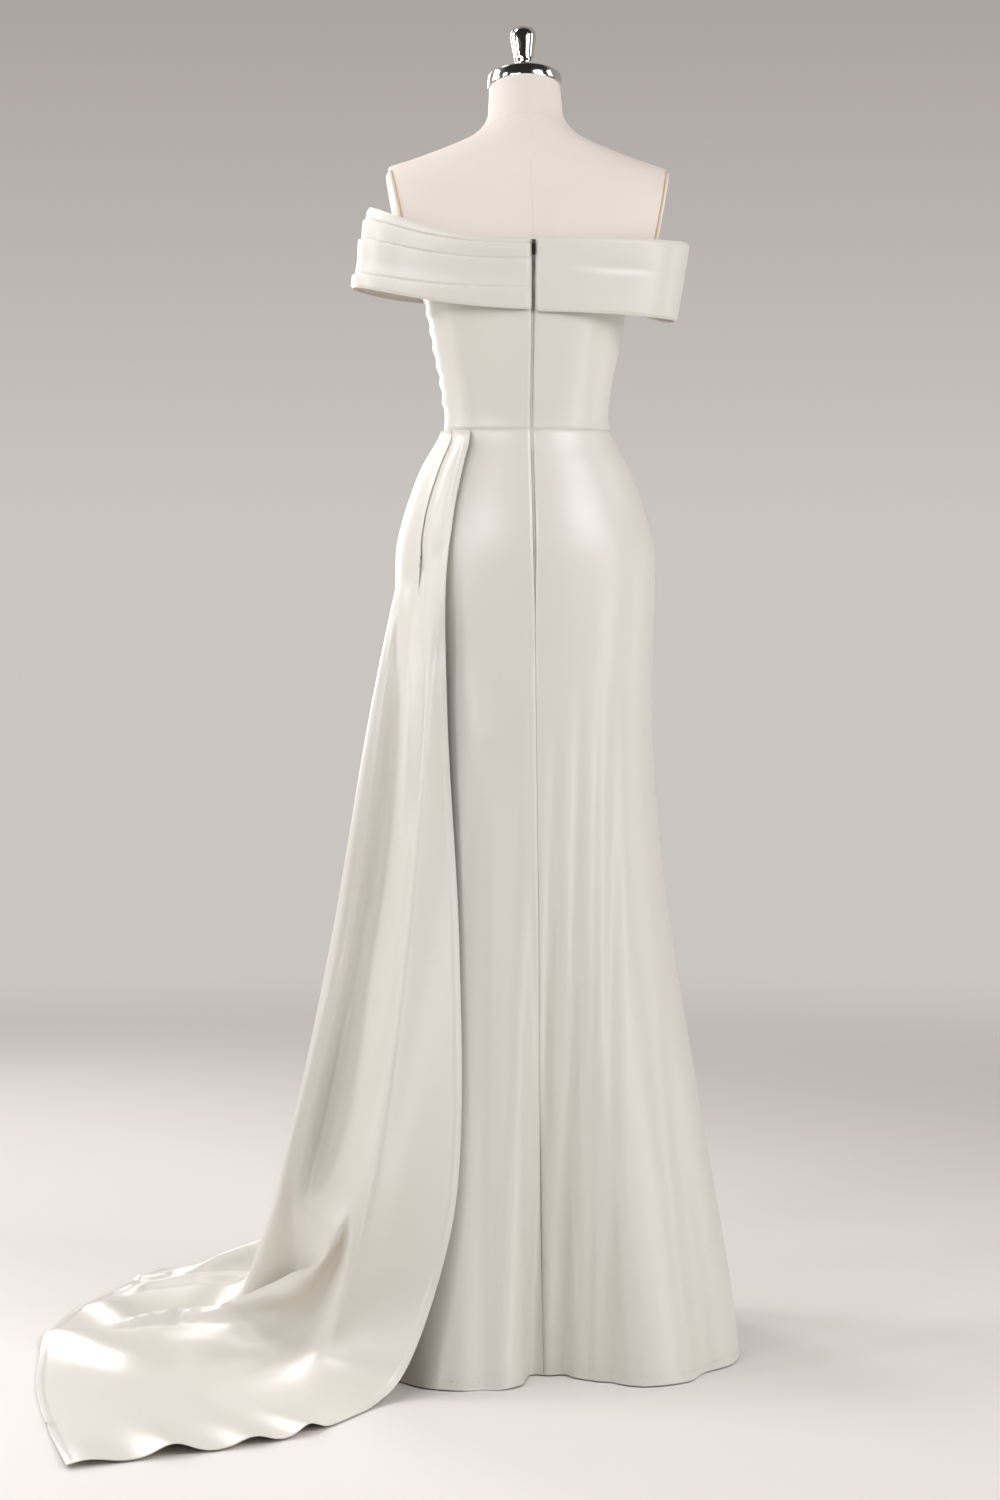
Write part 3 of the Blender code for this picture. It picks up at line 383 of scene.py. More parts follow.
# How finely the overskirt is cut: the panel, its flank, the side and the front, and the
# rows that hang, lie and crowd at the hem
PANEL_COLUMNS = 44
PANEL_CROWDING = 0.8
FLANK_COLUMNS = 40
FLANK_POWER = 1.25
SIDE_COLUMNS = 84
FRONT_COLUMNS = 16
FRONT_POWER = 1.6
HANGING_ROWS = 110
HANGING_END = 0.56
LYING_ROWS = 124
LYING_END = 0.97
HEM_ROWS = 16
HEM_POWER = 1.3

# How finely the form is cut
FORM_SIDES = 180
FORM_HIDDEN_ROWS = 50
FORM_OPEN_ROWS = 90
NECK_SEAM_STEPS = 180
FORM_SEAM_STEPS = 60

# A cord's rings start turned towards this, which no cord runs along
CORD_TURN = (0.31, 0.47, 0.83)
CORD_SIDES = 6
THREAD_SIDES = 4
PIPING_SIDES = 8

# The camera, worked out from the photograph's own perspective
CAMERA_PLACE = (0.42965, 5.01449, 1.08)
CAMERA_AIM = (0.035, 0.0, 0.779)
CAMERA_LENS = 91.56
SENSOR = 36.0

# Stage colours are linear
BACKDROP = (0.590, 0.560, 0.535)
BACKDROP_TOP = (0.400, 0.365, 0.345)
BACKDROP_TOP_RISE = 0.14
STUDIO_DIM = (0.030, 0.028, 0.026)
DIM_START = -0.35
DIM_END = 0.25
FLOOR_COLOUR = (0.90, 0.86, 0.835)
FLOOR_RADIUS = 30.0
FLOOR_SIDES = 96
FLOOR_DROP = 0.0006
FLOOR_ROUGHNESS = 0.65
FLOOR_SPECULAR = 0.2
# Between these distances the floor turns into a painted glow in the backdrop's colour
FLOOR_GLOW_START = 1.3
FLOOR_GLOW_END = 4.2

Lamp = namedtuple("Lamp", "name place target width height power")
LAMPS = (
    Lamp("left_back", (1.3, -2.6, 1.8), (0.1, 0.0, 1.0), 0.8, 2.0, 28.0),
    Lamp("left_side", (2.75, -0.15, 1.5), (0.1, 0.0, 0.95), 0.5, 1.6, 11.0),
    Lamp("hip_glow", (0.60, 1.35, 1.80), (0.06, 0.1, 1.12), 0.4, 0.4, 3.6),
    Lamp("left_high", (1.25, -0.45, 2.05), (0.1, 0.0, 1.1), 0.5, 0.6, 7.0),
    Lamp("left_glow", (2.5, 1.0, 2.4), (0.1, 0.0, 1.0), 0.5, 0.8, 13.0),
    Lamp("left_front", (2.0, 2.2, 1.9), (0.1, 0.0, 0.9), 0.6, 1.4, 17.0),
    Lamp("right_key", (-1.9, 2.2, 2.7), (0.0, 0.0, 0.8), 1.4, 1.4, 46.0),
    Lamp("right_strip", (-3.27, 2.12, 1.2), (0.0, 0.0, 0.9), 0.35, 2.4, 22.0),
    Lamp("right_wash", (-3.2, -0.2, 0.8), (0.0, 0.0, 0.8), 1.2, 1.2, 6.0),
    Lamp("right_high", (-2.4, 0.2, 2.6), (0.0, 0.0, 1.2), 0.8, 0.8, 4.5),
    Lamp("floor_pool", (1.5, -0.4, 3.4), (1.1, -0.3, 0.0), 0.8, 0.8, 13.0),
)


# Curves and sections


def read_curve(places, values, at, sharpness=0.0):
    """Read a curve through values at places, at each place of an array. It is smooth
    where sharpness is 0 and has a corner where it is 1."""
    places = np.asarray(places, float)
    values = np.asarray(values, float)
    shape = (-1,) + (1,) * (values.ndim - 1)
    last = len(places) - 1
    before = np.maximum(np.arange(last + 1) - 1, 0)
    after = np.minimum(np.arange(last + 1) + 1, last)
    shared = (values[after] - values[before]) / (places[after] - places[before]).reshape(shape)
    chords = np.diff(values, axis=0) / np.diff(places).reshape(shape)
    arriving = shared + sharpness * (np.concatenate((chords[:1], chords)) - shared)
    leaving = shared + sharpness * (np.concatenate((chords, chords[-1:])) - shared)
    at = np.clip(np.asarray(at, float), places[0], places[-1])
    index = np.clip(np.searchsorted(places, at) - 1, 0, last - 1)
    step = (places[index + 1] - places[index]).reshape(shape)
    t = (at - places[index]).reshape(shape) / step
    return ((2 * t ** 3 - 3 * t ** 2 + 1) * values[index]
            + (t ** 3 - 2 * t ** 2 + t) * step * leaving[index]
            + (3 * t ** 2 - 2 * t ** 3) * values[index + 1]
            + (t ** 3 - t ** 2) * step * arriving[index + 1])


def read_sections(rows, heights):
    """Return each size of a table of sections, as arrays shaped like heights."""
    heights = np.asarray(heights, float)
    places = [row.height for row in rows]
    sizes = read_curve(places, [row[1:] for row in rows], heights.ravel())
    return [column.reshape(heights.shape) for column in sizes.T]


def smoothstep(low, high, value):
    t = np.clip((value - low) / (high - low), 0.0, 1.0)
    return t * t * (3 - 2 * t)


def superellipse(angles, half_width, depth_back, depth_front, squareness):
    """Return x and y at angles in degrees from the back, turning to the left side."""
    sine = np.sin(np.radians(angles))
    cosine = np.cos(np.radians(angles))
    depth = np.where(cosine >= 0, depth_back, depth_front)
    power = 2.0 / squareness
    return (half_width * np.sign(sine) * np.abs(sine) ** power,
            depth * np.sign(cosine) * np.abs(cosine) ** power)


def spaced(first, last, count, power=1.0):
    """Return count + 1 places from first to last, closer to first if power is over 1."""
    return first + (last - first) * (np.arange(count + 1) / count) ** power


def eased(first, last, count, crowding):
    """Return count + 1 places from first to last, closer together at both ends."""
    t = np.arange(count + 1) / count
    return first + (last - first) * (t - crowding * np.sin(2 * np.pi * t) / (2 * np.pi))


# Relief on grids of points, whose columns run across and whose rows run down


def unit(vectors):
    return vectors / np.maximum(np.linalg.norm(vectors, axis=-1, keepdims=True), TINY)


def outward(grid):
    """Return the unit normals of a grid, on the side that shows."""
    return unit(np.cross(np.gradient(grid, axis=0), np.gradient(grid, axis=1)))


def push(grid, amount):
    """Move each point of a grid out by its own amount."""
    return grid + outward(grid) * amount[..., None]


def distance_across(grid, column):
    """Return how far past a column each point lies along its row."""
    steps = np.linalg.norm(np.diff(grid, axis=0), axis=-1)
    total = np.concatenate((np.zeros((1, grid.shape[1])), np.cumsum(steps, axis=0)))
    return total - total[column]


def distance_down(grid, row):
    """Return how far past a row each point lies down its column."""
    return distance_across(np.swapaxes(grid, 0, 1), row).T


def bell(distance, width):
    return np.exp(-(distance / width) ** 2)


def tuck_across(grid, column):
    """Roll a grid in towards a seam along one of its columns."""
    return push(grid, -SEAM_TUCK * bell(distance_across(grid, column), SEAM_ROLL))


def tuck_down(grid, row):
    """Roll a grid in towards a seam along one of its rows."""
    return push(grid, -SEAM_TUCK * bell(distance_down(grid, row), SEAM_ROLL))


def fold_relief(grid, normals, fold):
    """Return how far a fold moves each point: most on its path, less to each side and
    towards both ends."""
    path = np.array(fold.path)
    spans = np.diff(path, axis=0)
    lengths = np.linalg.norm(spans, axis=1)
    before = np.concatenate(((0.0,), np.cumsum(lengths)))
    nearest = np.full(grid.shape[:-1], np.inf)
    left = np.zeros(grid.shape[:-1], bool)
    along = np.zeros(grid.shape[:-1])
    for start, span, length, passed in zip(path, spans, lengths, before):
        share = np.clip((grid - start) @ span / length ** 2, 0.0, 1.0)
        offset = grid - (start + share[..., None] * span)
        distance = np.linalg.norm(offset, axis=-1)
        closer = distance < nearest
        nearest = np.where(closer, distance, nearest)
        on_left = (np.cross(normals, span) * offset).sum(axis=-1) > 0
        left = np.where(closer, on_left, left)
        along = np.where(closer, (passed + share * length) / before[-1], along)
    fade = smoothstep(0.0, FOLD_FADE, along) * smoothstep(0.0, FOLD_FADE, 1.0 - along)
    return fold.rise * fade * bell(nearest, np.where(left, fold.left, fold.right))


def add_folds(grid, folds):
    normals = outward(grid)
    return push(grid, sum(fold_relief(grid, normals, fold) for fold in folds))


# Shapes of the garment


def flute_offset(angles, heights):
    """Return how far the skirt's flutes move points out."""
    offset = np.zeros(np.broadcast(angles, heights).shape)
    for flute in FLUTES:
        turn = (angles - flute.angle + 180.0) % 360.0 - 180.0
        spread = np.where(turn > 0, flute.spread_left, flute.spread_right)
        fall = np.maximum(1.0 - heights / flute.start, 0.0)
        offset = offset + flute.depth * fall ** FLUTE_GROWTH * bell(turn, spread)
    return offset


def gown_surface(angles, heights):
    """Return points on the outside of the gown's skirt or bodice."""
    angles, heights = np.broadcast_arrays(np.asarray(angles, float),
                                          np.asarray(heights, float))
    x, y = superellipse(angles, *read_sections(GOWN_SECTIONS, heights))
    scale = 1.0 + flute_offset(angles, heights) / np.hypot(x, y)
    return np.stack((x * scale, y * scale, heights), axis=-1)


def gathered_surface(angles, heights):
    """Return the bodice with gathers drawn into its left side seam."""
    points = gown_surface(angles, heights)
    along = (points[..., 2] - GATHER_BOTTOM) / (GATHER_TOP - GATHER_BOTTOM)
    inside = (along > 0) & (along < 1)
    spread = np.where(np.asarray(angles) < 90.0, GATHER_SPREAD_BACK, GATHER_SPREAD)
    nearness = bell(np.asarray(angles) - 90.0, spread)
    wave = np.sin(np.pi * GATHER_COUNT * along) ** 2
    lift = np.where(inside, GATHER_DEPTH * wave, 0.0) * nearness
    points[..., :2] += unit(points[..., :2]) * lift[..., None]
    return points


def band_surface(angles, downs, pleated):
    """Return the outside of the band, where down is 0 at its top edge and 1 below."""
    angles, downs = np.broadcast_arrays(angles, downs)
    left = np.sin(np.radians(angles)) >= 0
    back = np.cos(np.radians(angles)) >= 0
    side = [np.where(left, a, b) for a, b in zip(BAND_LEFT, BAND_RIGHT)]
    reach = side[0] + (side[1] - side[0]) * downs
    x, y = superellipse(angles, reach, BAND_BACK_DEPTH, BAND_FRONT_DEPTH, BAND_SQUARENESS)
    share = np.minimum(np.abs(x) / reach, 1.0)
    middle = [np.where(back, np.where(left, a, b), c)
              for a, b, c in zip(BAND_BACK_LEFT, BAND_BACK_RIGHT, BAND_FRONT)]
    curve = np.where(back, BAND_BOTTOM_CURVE, BAND_FRONT_BOTTOM_CURVE)
    top = middle[0] + (side[2] - middle[0]) * share ** BAND_TOP_CURVE
    bottom = middle[1] + (side[3] - middle[1]) * share ** curve
    height = top + (bottom - top) * downs
    if pleated:
        rise, lift = pleat_relief(downs, share)
        scale = 1 + rise / np.hypot(x, y)
        x, y = x * scale, y * scale
        height = height + lift
    return np.stack((x, y, height), axis=-1)


def pleat_places(share):
    """Return where each pleat's fold lies down the band, at a share of the way round."""
    return [pleat.at_zip + (pleat.at_arm - pleat.at_zip) * share for pleat in PLEATS]


def pleat_relief(downs, share):
    """Return how far the pleats stand out, and how far each fold's lip is lifted over the
    crack above it."""
    rise = np.zeros(downs.shape)
    lift = np.zeros(downs.shape)
    pressed = PLEAT_PRESSED + (1.0 - PLEAT_PRESSED) * np.minimum(share / PLEAT_OPEN_SHARE, 1.0)
    for pleat, fold in zip(PLEATS, pleat_places(share)):
        below = (downs - fold) * BAND_HEIGHT
        step = smoothstep(-PLEAT_EDGE, 0.0, below)
        ease = 1.0 - PLEAT_FADE * smoothstep(fold, fold + PLEAT_FADE_LENGTH, downs)
        crack = pleat.crack_at_zip + (pleat.crack_at_arm - pleat.crack_at_zip) * share
        rise += pleat.rise * pressed * step * ease
        rise -= crack * bell(below + PLEAT_EDGE + CRACK_WIDTH / 2, CRACK_WIDTH)
        lift += LIP_LIFT_SHARE * crack * bell(below - LIP_PLACE, CRACK_WIDTH)
    return rise, lift


def overskirt_net():
    """Return the overskirt's stations: station, fold line, coordinate."""
    heights = (WAIST_STATION, HIP_STATION, THIGH_STATION, KNEE_STATION, SHIN_STATION)
    net = []
    for fold in FOLD_LINES:
        hanging = [(*fold[1 + index], height) for index, height in enumerate(heights)]
        lying = [(x, y, height + CLOTH / 2) for x, y, height in fold[1 + len(heights):]]
        net.append(hanging + lying)
    return np.swapaxes(np.array(net), 0, 1)


def clear_of_gown(points, clearance, seated):
    """Move points out until they are a clearance outside the gown's skirt. Where seated
    is 1, points further out are drawn in to that clearance too."""
    x, y, height = np.moveaxis(points, -1, 0)
    half_width, back, front, squareness = read_sections(GOWN_SECTIONS, height)
    depth = np.where(y >= 0, back, front) + clearance
    share = (np.abs(x) / (half_width + clearance)) ** squareness
    share = share + (np.abs(y) / depth) ** squareness
    change = np.maximum(share, TINY_SHARE) ** (-1.0 / squareness) - 1.0
    change = np.where(change < 0.0, change * seated, change)
    change = np.where((height >= WAIST_HEIGHT) | (height < 0.0), 0.0, change)
    return np.stack((x * (1 + change), y * (1 + change), height), axis=-1)


def overskirt_surface(across, down):
    """Return the middle of the overskirt's cloth on a grid of shares."""
    lines = read_curve(OVERSKIRT_STATION_SHARES, overskirt_net(), down)
    lines = np.swapaxes(lines, 0, 1)
    places = np.linspace(0.0, 1.0, len(FOLD_LINES))
    lying = smoothstep(LYING_START, LYING_FULL, down)[None, :, None]
    hangs, lies = (np.array(sharpness).reshape(-1, 1, 1)
                   for sharpness in (HANGING_SHARPNESS, LYING_SHARPNESS))
    sharpness = hangs + (lies - hangs) * lying
    points = read_curve(places, lines, across, sharpness)
    seated = 1.0 - smoothstep(0.0, OVERSKIRT_SEATED_SHARE, down)
    points = clear_of_gown(points, CLOTH / 2 + OVERSKIRT_CLEARANCE, seated[None, :])
    lift = sum(wave.height * bell(down - wave.place, wave.spread) for wave in HEM_WAVES)
    reach = bell(across, HEM_WAVE_REACH)
    points[..., 2] = np.maximum(points[..., 2], CLOTH / 2) + reach[:, None] * lift[None, :]
    return points


def set_pleat(grid, ridge):
    """Move the cloth at the main ridge straight in or out: the back panel's edge stands
    out and rolls over, and drops into a crack that the panel beneath comes out of."""
    height = grid[..., 2]
    along = distance_across(grid, ridge)
    past = np.where(along > 0, np.maximum(grid[..., 0] - grid[ridge, :, 0], 0.0), along)
    high = smoothstep(*PLEAT_DROP_CHANGE, height)
    rolled = np.clip(1.0 + past / PLEAT_ROLL, 0.0, 1.0)
    drop = PLEAT_DROP + (PLEAT_DROP_AT_WAIST - PLEAT_DROP) * high
    drop = drop * (1.0 - np.sqrt(1.0 - rolled ** 2)) * bell(np.maximum(along, 0.0),
                                                            PLEAT_DROP_SPREAD)
    inside = (past > 0) * (1.0 - smoothstep(CRACK_END - CRACK_SIDE, CRACK_END, past))
    crack = CRACK_DEPTH * inside * smoothstep(*CRACK_FOOT, height)
    lift = RIDGE_LIFT * bell(along, RIDGE_LIFT_SPREAD) * smoothstep(*PANEL_TOP, height)
    grid[..., 1] += (lift - drop - crack) * smoothstep(*PLEAT_FOOT, height)


def lift_panel(grid, ridge):
    """Lift the back panel's free edge off the gown below the waist."""
    height = grid[..., 2]
    share = smoothstep(0.0, PANEL_LIFT_WIDTH, -distance_across(grid, ridge))
    share *= smoothstep(*PANEL_TOP, height) * smoothstep(*PANEL_FOOT, height)
    grid[..., 1] += PANEL_LIFT * share


def hem_strip_relief(grid):
    """Return the step of the narrow hem turned along both side edges and the bottom."""
    edges = (distance_across(grid, 0), -distance_across(grid, -1), -distance_down(grid, -1))
    nearest = np.minimum.reduce(edges)
    return HEM_RISE * (1.0 - smoothstep(HEM_STRIP, HEM_STRIP + HEM_STEP, nearest))


def back_fold_relief(grid):
    """Return the relief of the skirt back's narrow folds."""
    x, y, height = np.moveaxis(grid, -1, 0)
    relief = np.zeros(x.shape)
    for fold in BACK_FOLDS:
        share = (BACK_FOLD_HIGH - height) / (BACK_FOLD_HIGH - BACK_FOLD_LOW)
        place = fold.x_high + (fold.x_low - fold.x_high) * share
        fall = np.clip((fold.start - height) / (fold.start - BACK_FOLD_LOW), 0.0, 1.0)
        relief += fold.depth * fall ** BACK_FOLD_GROWTH * bell(x - place, fold.width)
    return relief


def zip_slot(heights):
    """Return half the width of the slot over the zip, which closes to a seam below."""
    closed = SEAM_GAP / 2
    return closed + (ZIP_SLOT_HALF - closed) * smoothstep(*ZIP_SLOT_FADE, heights)


# Meshes


def link_object(name, data):
    thing = bpy.data.objects.new(name, data)
    bpy.context.scene.collection.objects.link(thing)
    return thing


def link_mesh(name, points, faces, material, sharp_angle=None):
    """Make a smooth mesh. Where an angle is given, edges that turn by more are sharp."""
    mesh = bpy.data.meshes.new(name)
    mesh.from_pydata(np.reshape(points, (-1, 3)).tolist(), [], faces)
    mesh.validate()
    mesh.shade_smooth()
    if sharp_angle is not None:
        mesh.set_sharp_from_angle(angle=math.radians(sharp_angle))
    mesh.materials.append(material)
    return link_object(name, mesh)


def grid_faces(columns, rows):
    """Return the quads of a grid whose columns run across and whose rows run down."""
    corner = np.arange((columns - 1) * rows).reshape(columns - 1, rows)[:, :-1].ravel()
    return np.stack((corner, corner + rows, corner + rows + 1, corner + 1), axis=1).tolist()


def ring_faces(rings, sides):
    """Return the faces of stacked rings, with a fan at each end."""
    faces = []
    for low in range(0, (rings - 1) * sides, sides):
        high = low + sides
        for side in range(sides):
            after = (side + 1) % sides
            faces.append((low + side, low + after, high + after, high + side))
    faces.append(tuple(reversed(range(sides))))
    faces.append(tuple(range((rings - 1) * sides, rings * sides)))
    return faces


def turn_over(faces):
    return [tuple(reversed(face)) for face in faces]


def place_piece(piece, slot, *nodes):
    """Ride a piece on the dressed form and hide the nodes that it replaces. Its slot is not
    used.
    """
    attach(piece, BODY)
    if nodes:
        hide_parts(*nodes)


def make_cloth(node, grid, material, offset=-1.0):
    """Make a cloth piece in its node's place: a thin shell on a grid of points, columns
    first, whose outside faces out."""
    piece = link_mesh(node + "_satin", grid, grid_faces(*grid.shape[:2]), material)
    solid = piece.modifiers.new("thickness", "SOLIDIFY")
    solid.thickness = SHELL
    solid.offset = offset
    solid.use_even_offset = False
    place_piece(piece, "satin", node)


def cord_points(path, radius, sides):
    """Return rings of points round a path, each turned as little as it can be."""
    path = np.asarray(path, float)
    along = unit(np.gradient(path, axis=0))
    across = np.cross(along[0], CORD_TURN)
    turns = np.arange(sides) * 2 * np.pi / sides
    rings = []
    for centre, ahead in zip(path, along):
        across = across - ahead * (across @ ahead)
        across = across / np.linalg.norm(across)
        beside = np.cross(ahead, across)
        rings.append(centre + radius * (np.cos(turns)[:, None] * across
                                        + np.sin(turns)[:, None] * beside))
    return np.concatenate(rings)


def make_cords(name, paths, radius, material, slot, sides=CORD_SIDES):
    """Make thin round cords along paths, as one piece."""
    points = []
    faces = []
    for path in paths:
        first = sum(len(part) for part in points)
        points.append(cord_points(path, radius, sides))
        faces += [tuple(first + corner for corner in face)
                  for face in ring_faces(len(path), sides)]
    place_piece(link_mesh(name, np.concatenate(points), faces, material), slot)


# Materials


def set_sockets(tree, node, **values):
    """Set a node's sockets (names with _ for spaces) to values or to other nodes' sockets,
    or else set its properties."""
    for name, value in values.items():
        socket = name.replace("_", " ")
        if isinstance(value, bpy.types.NodeSocket):
            tree.links.new(value, node.inputs[socket])
        elif socket in node.inputs:
            node.inputs[socket].default_value = value
        else:
            setattr(node, name, value)
    return node


def add_node(tree, kind, **values):
    return set_sockets(tree, tree.nodes.new(kind), **values)


def new_material(name, colour, roughness, metallic=0.0):
    material = bpy.data.materials.new(name)
    material.use_nodes = True
    tree = material.node_tree
    shader = set_sockets(tree, tree.nodes["Principled BSDF"], Base_Color=(*colour, 1.0),
                         Roughness=roughness, Metallic=metallic)
    return material, tree, shader


def noise(tree, scale, stretch=(1.0, 1.0, 1.0), detail=3.0):
    """Return a noise in the piece's own coordinates, in metres, stretched on its axes."""
    place = add_node(tree, "ShaderNodeTexCoord").outputs["Object"]
    mapping = add_node(tree, "ShaderNodeMapping", Scale=stretch, Vector=place)
    node = add_node(tree, "ShaderNodeTexNoise", Scale=scale, Detail=detail,
                    Vector=mapping.outputs["Vector"])
    return node.outputs["Fac"]


def colour_between(tree, factor, low, high, start=0.3, end=0.7):
    """Return a colour socket that goes from low to high as a factor goes up."""
    ramp = add_node(tree, "ShaderNodeValToRGB", Fac=factor)
    for element, place, colour in zip(ramp.color_ramp.elements, (start, end), (low, high)):
        element.position = place
        element.color = (*colour, 1.0)
    return ramp.outputs["Color"]


def value_between(tree, factor, low, high):
    node = add_node(tree, "ShaderNodeMapRange", To_Min=low, To_Max=high, Value=factor)
    return node.outputs["Result"]


def add_bump(tree, shader, height, strength, distance):
    bump = add_node(tree, "ShaderNodeBump", Strength=strength, Distance=distance,
                    Height=height)
    set_sockets(tree, shader, Normal=bump.outputs["Normal"])


def grained(name, colour, roughness, scale, strength, distance=0.0003):
    """Return a material of one colour with a fine grain."""
    material, tree, shader = new_material(name, colour, roughness)
    add_bump(tree, shader, noise(tree, scale), strength, distance)
    return material


def satin():
    """Ivory satin: a smooth float weave with a soft sheen and the faintest slubs."""
    material, tree, shader = new_material("satin", (0.80, 0.765, 0.705), 0.35)
    cloudy = noise(tree, 5.0, (1.0, 1.0, 0.35))
    slubs = noise(tree, 40.0, (1.0, 1.0, 0.1))
    colour = colour_between(tree, cloudy, (0.795, 0.757, 0.697), (0.812, 0.776, 0.718))
    set_sockets(tree, shader, Specular_IOR_Level=0.65, Sheen_Weight=0.20,
                Sheen_Roughness=0.35, Sheen_Tint=(1.0, 0.97, 0.92, 1.0), Base_Color=colour,
                Roughness=value_between(tree, slubs, 0.335, 0.360))
    add_bump(tree, shader, noise(tree, 900.0, (1.0, 1.0, 0.12), 1.0), 0.02, 0.0001)
    return material


def form_cover():
    """The form's cover: matt cream jersey."""
    material, tree, shader = new_material("form_cover", (0.88, 0.79, 0.73), 0.80)
    colour = colour_between(tree, noise(tree, 9.0), (0.86, 0.770, 0.710), (0.90, 0.815, 0.755))
    set_sockets(tree, shader, Specular_IOR_Level=0.25, Base_Color=colour)
    add_bump(tree, shader, noise(tree, 1400.0, detail=2.0), 0.25, 0.0003)
    return material


def plate_rim():
    return grained("plate_rim", (0.66, 0.47, 0.32), 0.60, 1100.0, 0.3)


def plate_face():
    return grained("plate_face", (0.86, 0.79, 0.72), 0.65, 1200.0, 0.25)


def stand_paint():
    return grained("stand_paint", (0.80, 0.79, 0.77), 0.42, 420.0, 0.12, 0.0004)


def zip_cloth():
    return grained("zip_cloth", (0.66, 0.62, 0.56), 0.65, 1500.0, 0.35)


def chrome():
    material, tree, shader = new_material("chrome", (0.72, 0.71, 0.70), 0.10, 1.0)
    smudges = noise(tree, 130.0, (1.0, 1.0, 4.0))
    set_sockets(tree, shader, Roughness=value_between(tree, smudges, 0.06, 0.15))
    return material


# The gown


def bodice_heights():
    return eased(BODICE_TOP, WAIST_HEIGHT + SEAM_GAP / 2, BODICE_ROWS, ROW_CROWDING)


def skirt_heights():
    spans = [spaced(*span) for span in SKIRT_SPANS]
    return np.concatenate((spans[0], *(heights[1:] for heights in spans[1:])))


def trim(grid, column, axis, place):
    """Put a seam column of a grid on a plane across one axis."""
    grid[column, :, axis] = place


def back_angles(side, heights, columns):
    """Return a back panel's angles, from the zip's slot or centre seam to the side seam."""
    half_width, _, _, squareness = read_sections(GOWN_SECTIONS, heights)
    first = np.degrees(np.arcsin((zip_slot(heights) / half_width) ** (squareness / 2)))
    shares = eased(0.0, 1.0, columns, SEAM_CROWDING)
    return side * (first[None, :] + (90.0 - first[None, :]) * shares[:, None])


def make_back(node, side, surface, waist_row, heights, columns, material):
    """Make a back panel, rolled in at the centre, the side seam and the waist."""
    grid = surface(back_angles(side, heights, columns), heights[None, :])
    if side < 0:
        grid = grid[::-1]
    grid = push(grid, back_fold_relief(grid))
    for column in (0, -1):
        grid = tuck_across(grid, column)
    grid = tuck_down(grid, waist_row)
    centre, outer = (0, -1) if side > 0 else (-1, 0)
    trim(grid, centre, 0, side * zip_slot(heights))
    trim(grid, outer, 1, SEAM_GAP / 2)
    grid[..., 2] = np.maximum(grid[..., 2], HEM_HEIGHT)
    make_cloth(node, grid, material)


def make_front(node, surface, waist_row, heights, columns, material):
    """Make a front panel, rolled in at its side seams and the waist."""
    angles = eased(90.0, 270.0, columns, SEAM_CROWDING)
    grid = surface(angles[:, None], heights[None, :])
    for column in (0, -1):
        grid = tuck_across(grid, column)
        trim(grid, column, 1, -SEAM_GAP / 2)
    grid = tuck_down(grid, waist_row)
    make_cloth(node, grid, material)


def make_gown(material):
    make_front("bodice_front", gathered_surface, -1, bodice_heights(), BODICE_FRONT_COLUMNS,
               material)
    make_front("skirt_front", gown_surface, 0, skirt_heights(), SKIRT_FRONT_COLUMNS, material)
    for name, side, surface in (("left", 1, gathered_surface), ("right", -1, gown_surface)):
        make_back("bodice_back_" + name, side, surface, -1, bodice_heights(),
                  BODICE_BACK_COLUMNS, material)
        make_back("skirt_back_" + name, side, gown_surface, 0, skirt_heights(),
                  SKIRT_BACK_COLUMNS, material)


def make_stitches(material):
    """Make the hem's blind stitches, which just show on the outside."""
    around = np.linspace(0.0, 360.0, HEM_RING_STEPS + 1)
    ring = gown_surface(around, np.full(around.shape, STITCH_HEIGHT))
    passed = np.concatenate(((0.0,), np.cumsum(np.linalg.norm(np.diff(ring, axis=0), axis=1))))
    starts = np.arange(0.0, passed[-1], STITCH_PITCH)
    paths = []
    for start in starts:
        places = np.array((start, start + STITCH_LENGTH / 2, start + STITCH_LENGTH))
        paths.append(np.stack([np.interp(places, passed, axis) for axis in ring.T], axis=-1))
    make_cords("hem_stitches", paths, STITCH_RADIUS, material, "satin", THREAD_SIDES)


def make_coil(material):
    """Make the zip's fine coil, seen down the slot."""
    heights = np.arange(ZIP_BOTTOM, ZIP_TOP, COIL_PITCH)
    depth = gown_surface(np.zeros(heights.shape), heights)[:, 1] - CLOTH - ZIP_EASE
    paths = [((-COIL_REACH, y, height), (COIL_REACH, y, height))
             for y, height in zip(depth, heights)]
    make_cords("zip_coil", paths, COIL_RADIUS, material, "zip_cloth", THREAD_SIDES)


def pleated_downs(angles):
    """Return the rows down the pleated band for each column, crowded at the folds."""
    share = np.abs(np.sin(np.radians(angles))) ** (2.0 / BAND_SQUARENESS)
    edges = [np.zeros(len(angles)), *pleat_places(share), np.ones(len(angles))]
    rows = []
    for above, below in zip(edges, edges[1:]):
        shares = eased(0.0, 1.0, BAND_PLEAT_ROWS, BAND_PLEAT_CROWDING)[:-1]
        rows.append(above[:, None] + (below - above)[:, None] * shares[None, :])
    rows.append(np.ones((len(angles), 1)))
    return np.concatenate(rows, axis=1)


def roll_band(grid):
    """Round the band's folded top and bottom edges."""
    top = bell(distance_down(grid, 0), BAND_ROLL_WIDTH)
    bottom = bell(distance_down(grid, -1), BAND_ROLL_WIDTH)
    return push(grid, -BAND_ROLL * (top + bottom))


